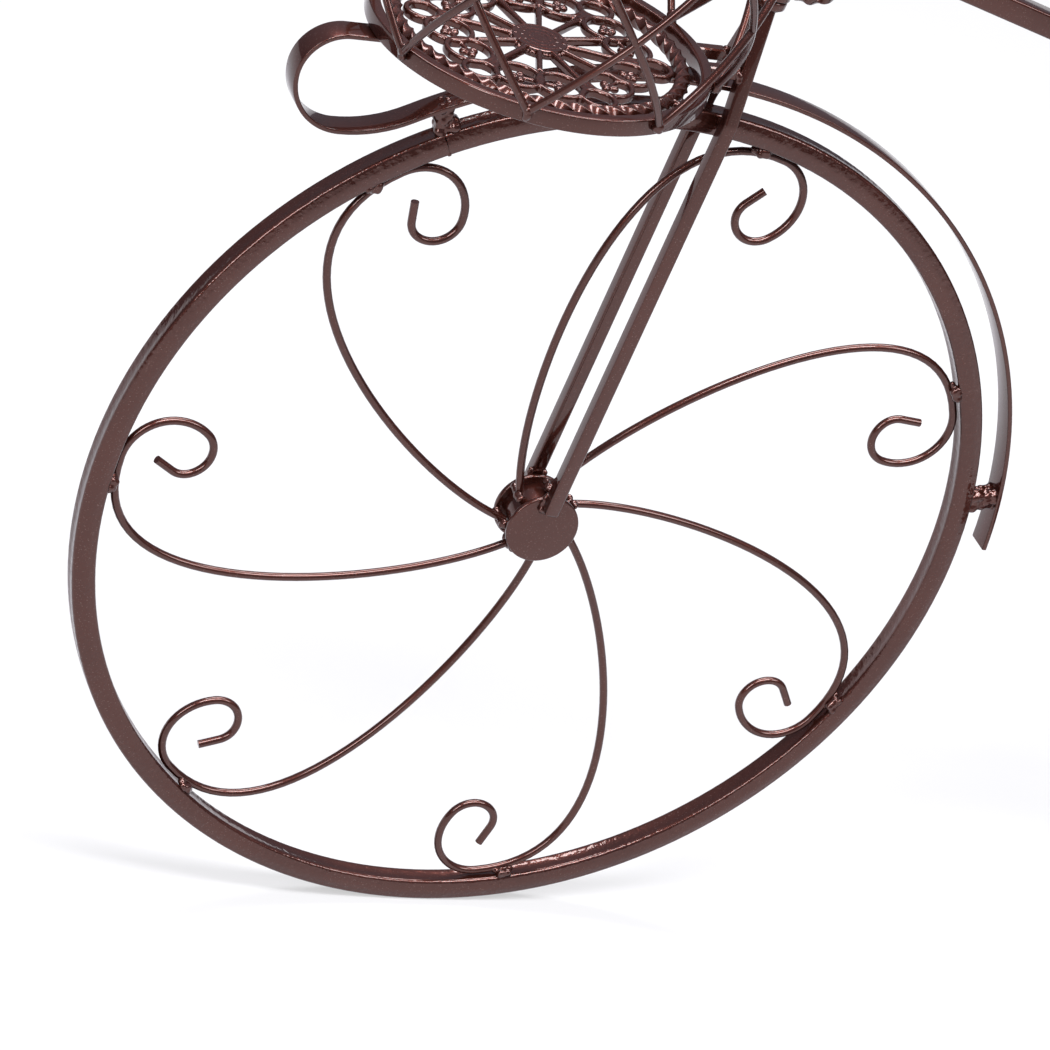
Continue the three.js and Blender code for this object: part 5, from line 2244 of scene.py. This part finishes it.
@dataclass(frozen=True)
class Stand:
    """A bar bent to a wide U upside down, which turns in the rear hub, with a round pad under each foot."""

    rod_radius: float = 0.004
    inner_half: float = 0.0252
    knee_drop: float = 0.041
    half_width: float = 0.120
    rake: float = 0.030  # feet ahead of the rear hub
    pad_radius: float = 0.009
    pad_height: float = 0.004
    pad_edge: float = 0.0006
    weld_steps: int = 10
    bend: float = 0.007
    bead: float = 0.0012

    def build(self, bench: Bench) -> None:
        """Makes the stand as one piece."""
        hub = middle_of("rear_rim")
        places = (
            (self.half_width, self.pad_height),
            (self.inner_half, hub.z - self.knee_drop),
            (self.inner_half, hub.z),
        )
        half = []
        for y, height in places:
            share = (hub.z - height) / (hub.z - self.pad_height)
            half.append(Vector((hub.x - self.rake * share, y, height)))
        line = [Vector((p.x, -p.y, p.z)) for p in half] + list(reversed(half))
        parts = [bench.round_bar("rod", [softened(line, self.bend)], self.rod_radius, 28)]
        for side in (-1, 1):
            foot = Vector((hub.x - self.rake, side * self.half_width, 0))
            pad = turned(self.pad_radius, 0.0, self.pad_height, self.pad_edge)
            parts.append(pad.moved(Matrix.Translation(foot)).to_object("pad"))
            ring = circle(self.rod_radius * 1.1, self.pad_height, self.weld_steps)
            bench.seam(Body.STAND, ring, self.bead, Matrix.Translation(foot))
        piece = joined("bent_stand", parts)
        shade(piece.data, 45.0)
        bench.hand_over(piece, Body.STAND, "stand")


# Studio


@dataclass(frozen=True)
class Studio:
    """A pale floor that runs to white, soft lamps, and the camera."""

    floor_half: float = 6.0
    floor_colour: str = "#8c8c8e"
    backdrop_glow: float = 0.54
    wall_light: float = 0.17
    ceiling_light: float = 0.6
    azimuth: float = 27.28
    elevation: float = 29.55
    roll: float = 17.94
    distance: float = 1.93778
    target: tuple[float, float, float] = (-0.2987, 0.0, 0.1958)
    focal_length: float = 158.11  # millimetres, on a sensor 36 mm wide
    sensor: float = 36.0

    def build(self) -> None:
        """Makes the floor, the world, the lamps and the camera."""
        self.floor()
        self.world()
        self.lamps()
        self.camera()

    @staticmethod
    def seen_directly(tree: Tree) -> Socket:
        """Tells the rays that see a surface from those that carry its light on.

        Args:
            tree: the shader tree.

        Returns:
            1 for rays from the camera and for reflected and transmitted ones, 0 for diffuse light.
        """
        rays = add_node(tree, "ShaderNodeLightPath").outputs
        seen = {0: rays["Is Camera Ray"], 1: rays["Is Glossy Ray"]}
        first = add_node(tree, "ShaderNodeMath", seen, operation="MAXIMUM").outputs[0]
        through = {0: first, 1: rays["Is Transmission Ray"]}
        return add_node(tree, "ShaderNodeMath", through, operation="MAXIMUM").outputs[0]

    def floor(self) -> None:
        """A matt pale floor with a glow that is only seen, never cast on the planter."""
        half = self.floor_half
        corners = [Vector((x * half, y * half, 0)) for x, y in ((-1, -1), (1, -1), (1, 1), (-1, 1))]
        mesh = bpy.data.meshes.new("studio_floor")
        mesh.from_pydata([tuple(c) for c in corners], [], [(0, 1, 2, 3)])
        floor = link_new("studio_floor", mesh)
        material = blank_material("matt pale floor paper")
        tree = material.node_tree
        matt = add_node(tree, "ShaderNodeBsdfDiffuse", {"Color": linear(self.floor_colour)})
        share = {0: self.seen_directly(tree), 1: self.backdrop_glow}
        strength = add_node(tree, "ShaderNodeMath", share, operation="MULTIPLY").outputs[0]
        glow = add_node(tree, "ShaderNodeEmission", {"Color": linear("#ffffff"), "Strength": strength})
        both = add_node(tree, "ShaderNodeAddShader", {0: matt.outputs[0], 1: glow.outputs[0]})
        add_node(tree, "ShaderNodeOutputMaterial", {"Surface": both.outputs[0]})
        mesh.materials.append(material)

    def world(self) -> None:
        """A dim studio that grows brighter towards its ceiling."""
        world = bpy.data.worlds.new("studio_world")
        bpy.context.scene.world = world
        world.use_nodes = True
        tree = world.node_tree
        tree.nodes.clear()
        place = add_node(tree, "ShaderNodeTexCoord").outputs["Generated"]
        height = add_node(tree, "ShaderNodeSeparateXYZ", {0: place}).outputs["Z"]
        strength = add_node(
            tree,
            "ShaderNodeMapRange",
            {
                "Value": height,
                "From Min": 0.0,
                "From Max": 1.0,
                "To Min": self.wall_light,
                "To Max": self.ceiling_light,
            },
        ).outputs["Result"]
        light = add_node(tree, "ShaderNodeBackground", {"Color": linear("#e6e4f2"), "Strength": strength})
        add_node(tree, "ShaderNodeOutputWorld", {"Surface": light.outputs[0]})

    @staticmethod
    def lamp(name: str, at: Vector, aim: Vector, size: tuple[float, float], power: float) -> None:
        """An oblong soft lamp.

        Args:
            name: the lamp's name.
            at: its place.
            aim: the place that it points at.
            size: its two sides, the first one level.
            power: in watts.
        """
        data = bpy.data.lights.new(name, "AREA")
        data.shape = "RECTANGLE"
        data.size, data.size_y = size
        data.energy = power
        lamp = link_new(name, data)
        lamp.location = at
        lamp.rotation_euler = (aim - at).to_track_quat("-Z", "Y").to_euler()

    def lamps(self) -> None:
        """Strip lamps overhead with dark gaps between them, and softer ones at the sides."""
        aim = Vector((-0.15, 0, 0.25))
        self.lamp("overhead near", Vector((-0.3, -0.7, 2.0)), aim, (1.8, 0.5), 50.0)
        self.lamp("overhead far", Vector((0.1, 0.9, 2.0)), aim, (1.8, 0.5), 38.0)
        self.lamp("front", Vector((-1.9, -1.2, 1.3)), aim, (0.5, 1.3), 24.0)
        self.lamp("right", Vector((1.5, -1.3, 2.1)), aim, (0.9, 1.2), 26.0)

    def camera(self) -> None:
        """The camera, at the photograph's angle."""
        az, el, roll = (radians(a) for a in (self.azimuth, self.elevation, self.roll))
        forward = Vector((sin(az) * cos(el), cos(az) * cos(el), -sin(el)))
        level = Vector((cos(az), -sin(az), 0))
        upright = level.cross(forward)
        right = level * cos(roll) + upright * sin(roll)
        up = upright * cos(roll) - level * sin(roll)
        data = bpy.data.cameras.new("camera")
        data.sensor_width = self.sensor
        data.lens = self.focal_length
        data.clip_end = 50.0
        camera = link_new("camera", data)
        turn = Matrix((right, up, -forward)).transposed().to_4x4()
        camera.matrix_world = Matrix.Translation(Vector(self.target) - forward * self.distance) @ turn
        bpy.context.scene.camera = camera


def main() -> None:
    """Builds the planter, sub-assembly by sub-assembly, and the studio round it."""
    logging.basicConfig(level=logging.INFO, format="%(name)s: %(message)s", stream=sys.stdout)
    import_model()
    bpy.context.scene.view_settings.view_transform = "Standard"
    bench = Bench()
    uprights = {}
    for end, tube in ((End.FRONT, "head_tube"), (End.REAR, "seat_tube")):
        station = Station(end)
        Wheel(station).build(bench)
        Mudguard(station).build(bench)
        fork = Fork(station)
        fork.build(bench)
        Basket(fork).build(bench)
        uprights[end] = Upright(fork, tube)
        uprights[end].build(bench)
    Steering(uprights[End.FRONT]).build(bench)
    Seat(uprights[End.REAR]).build(bench)
    Frame(uprights[End.FRONT], uprights[End.REAR]).build(bench)
    Drive().build(bench)
    Stand().build(bench)
    bench.lay_seams()
    Studio().build()


if __name__ == "__main__":
    main()
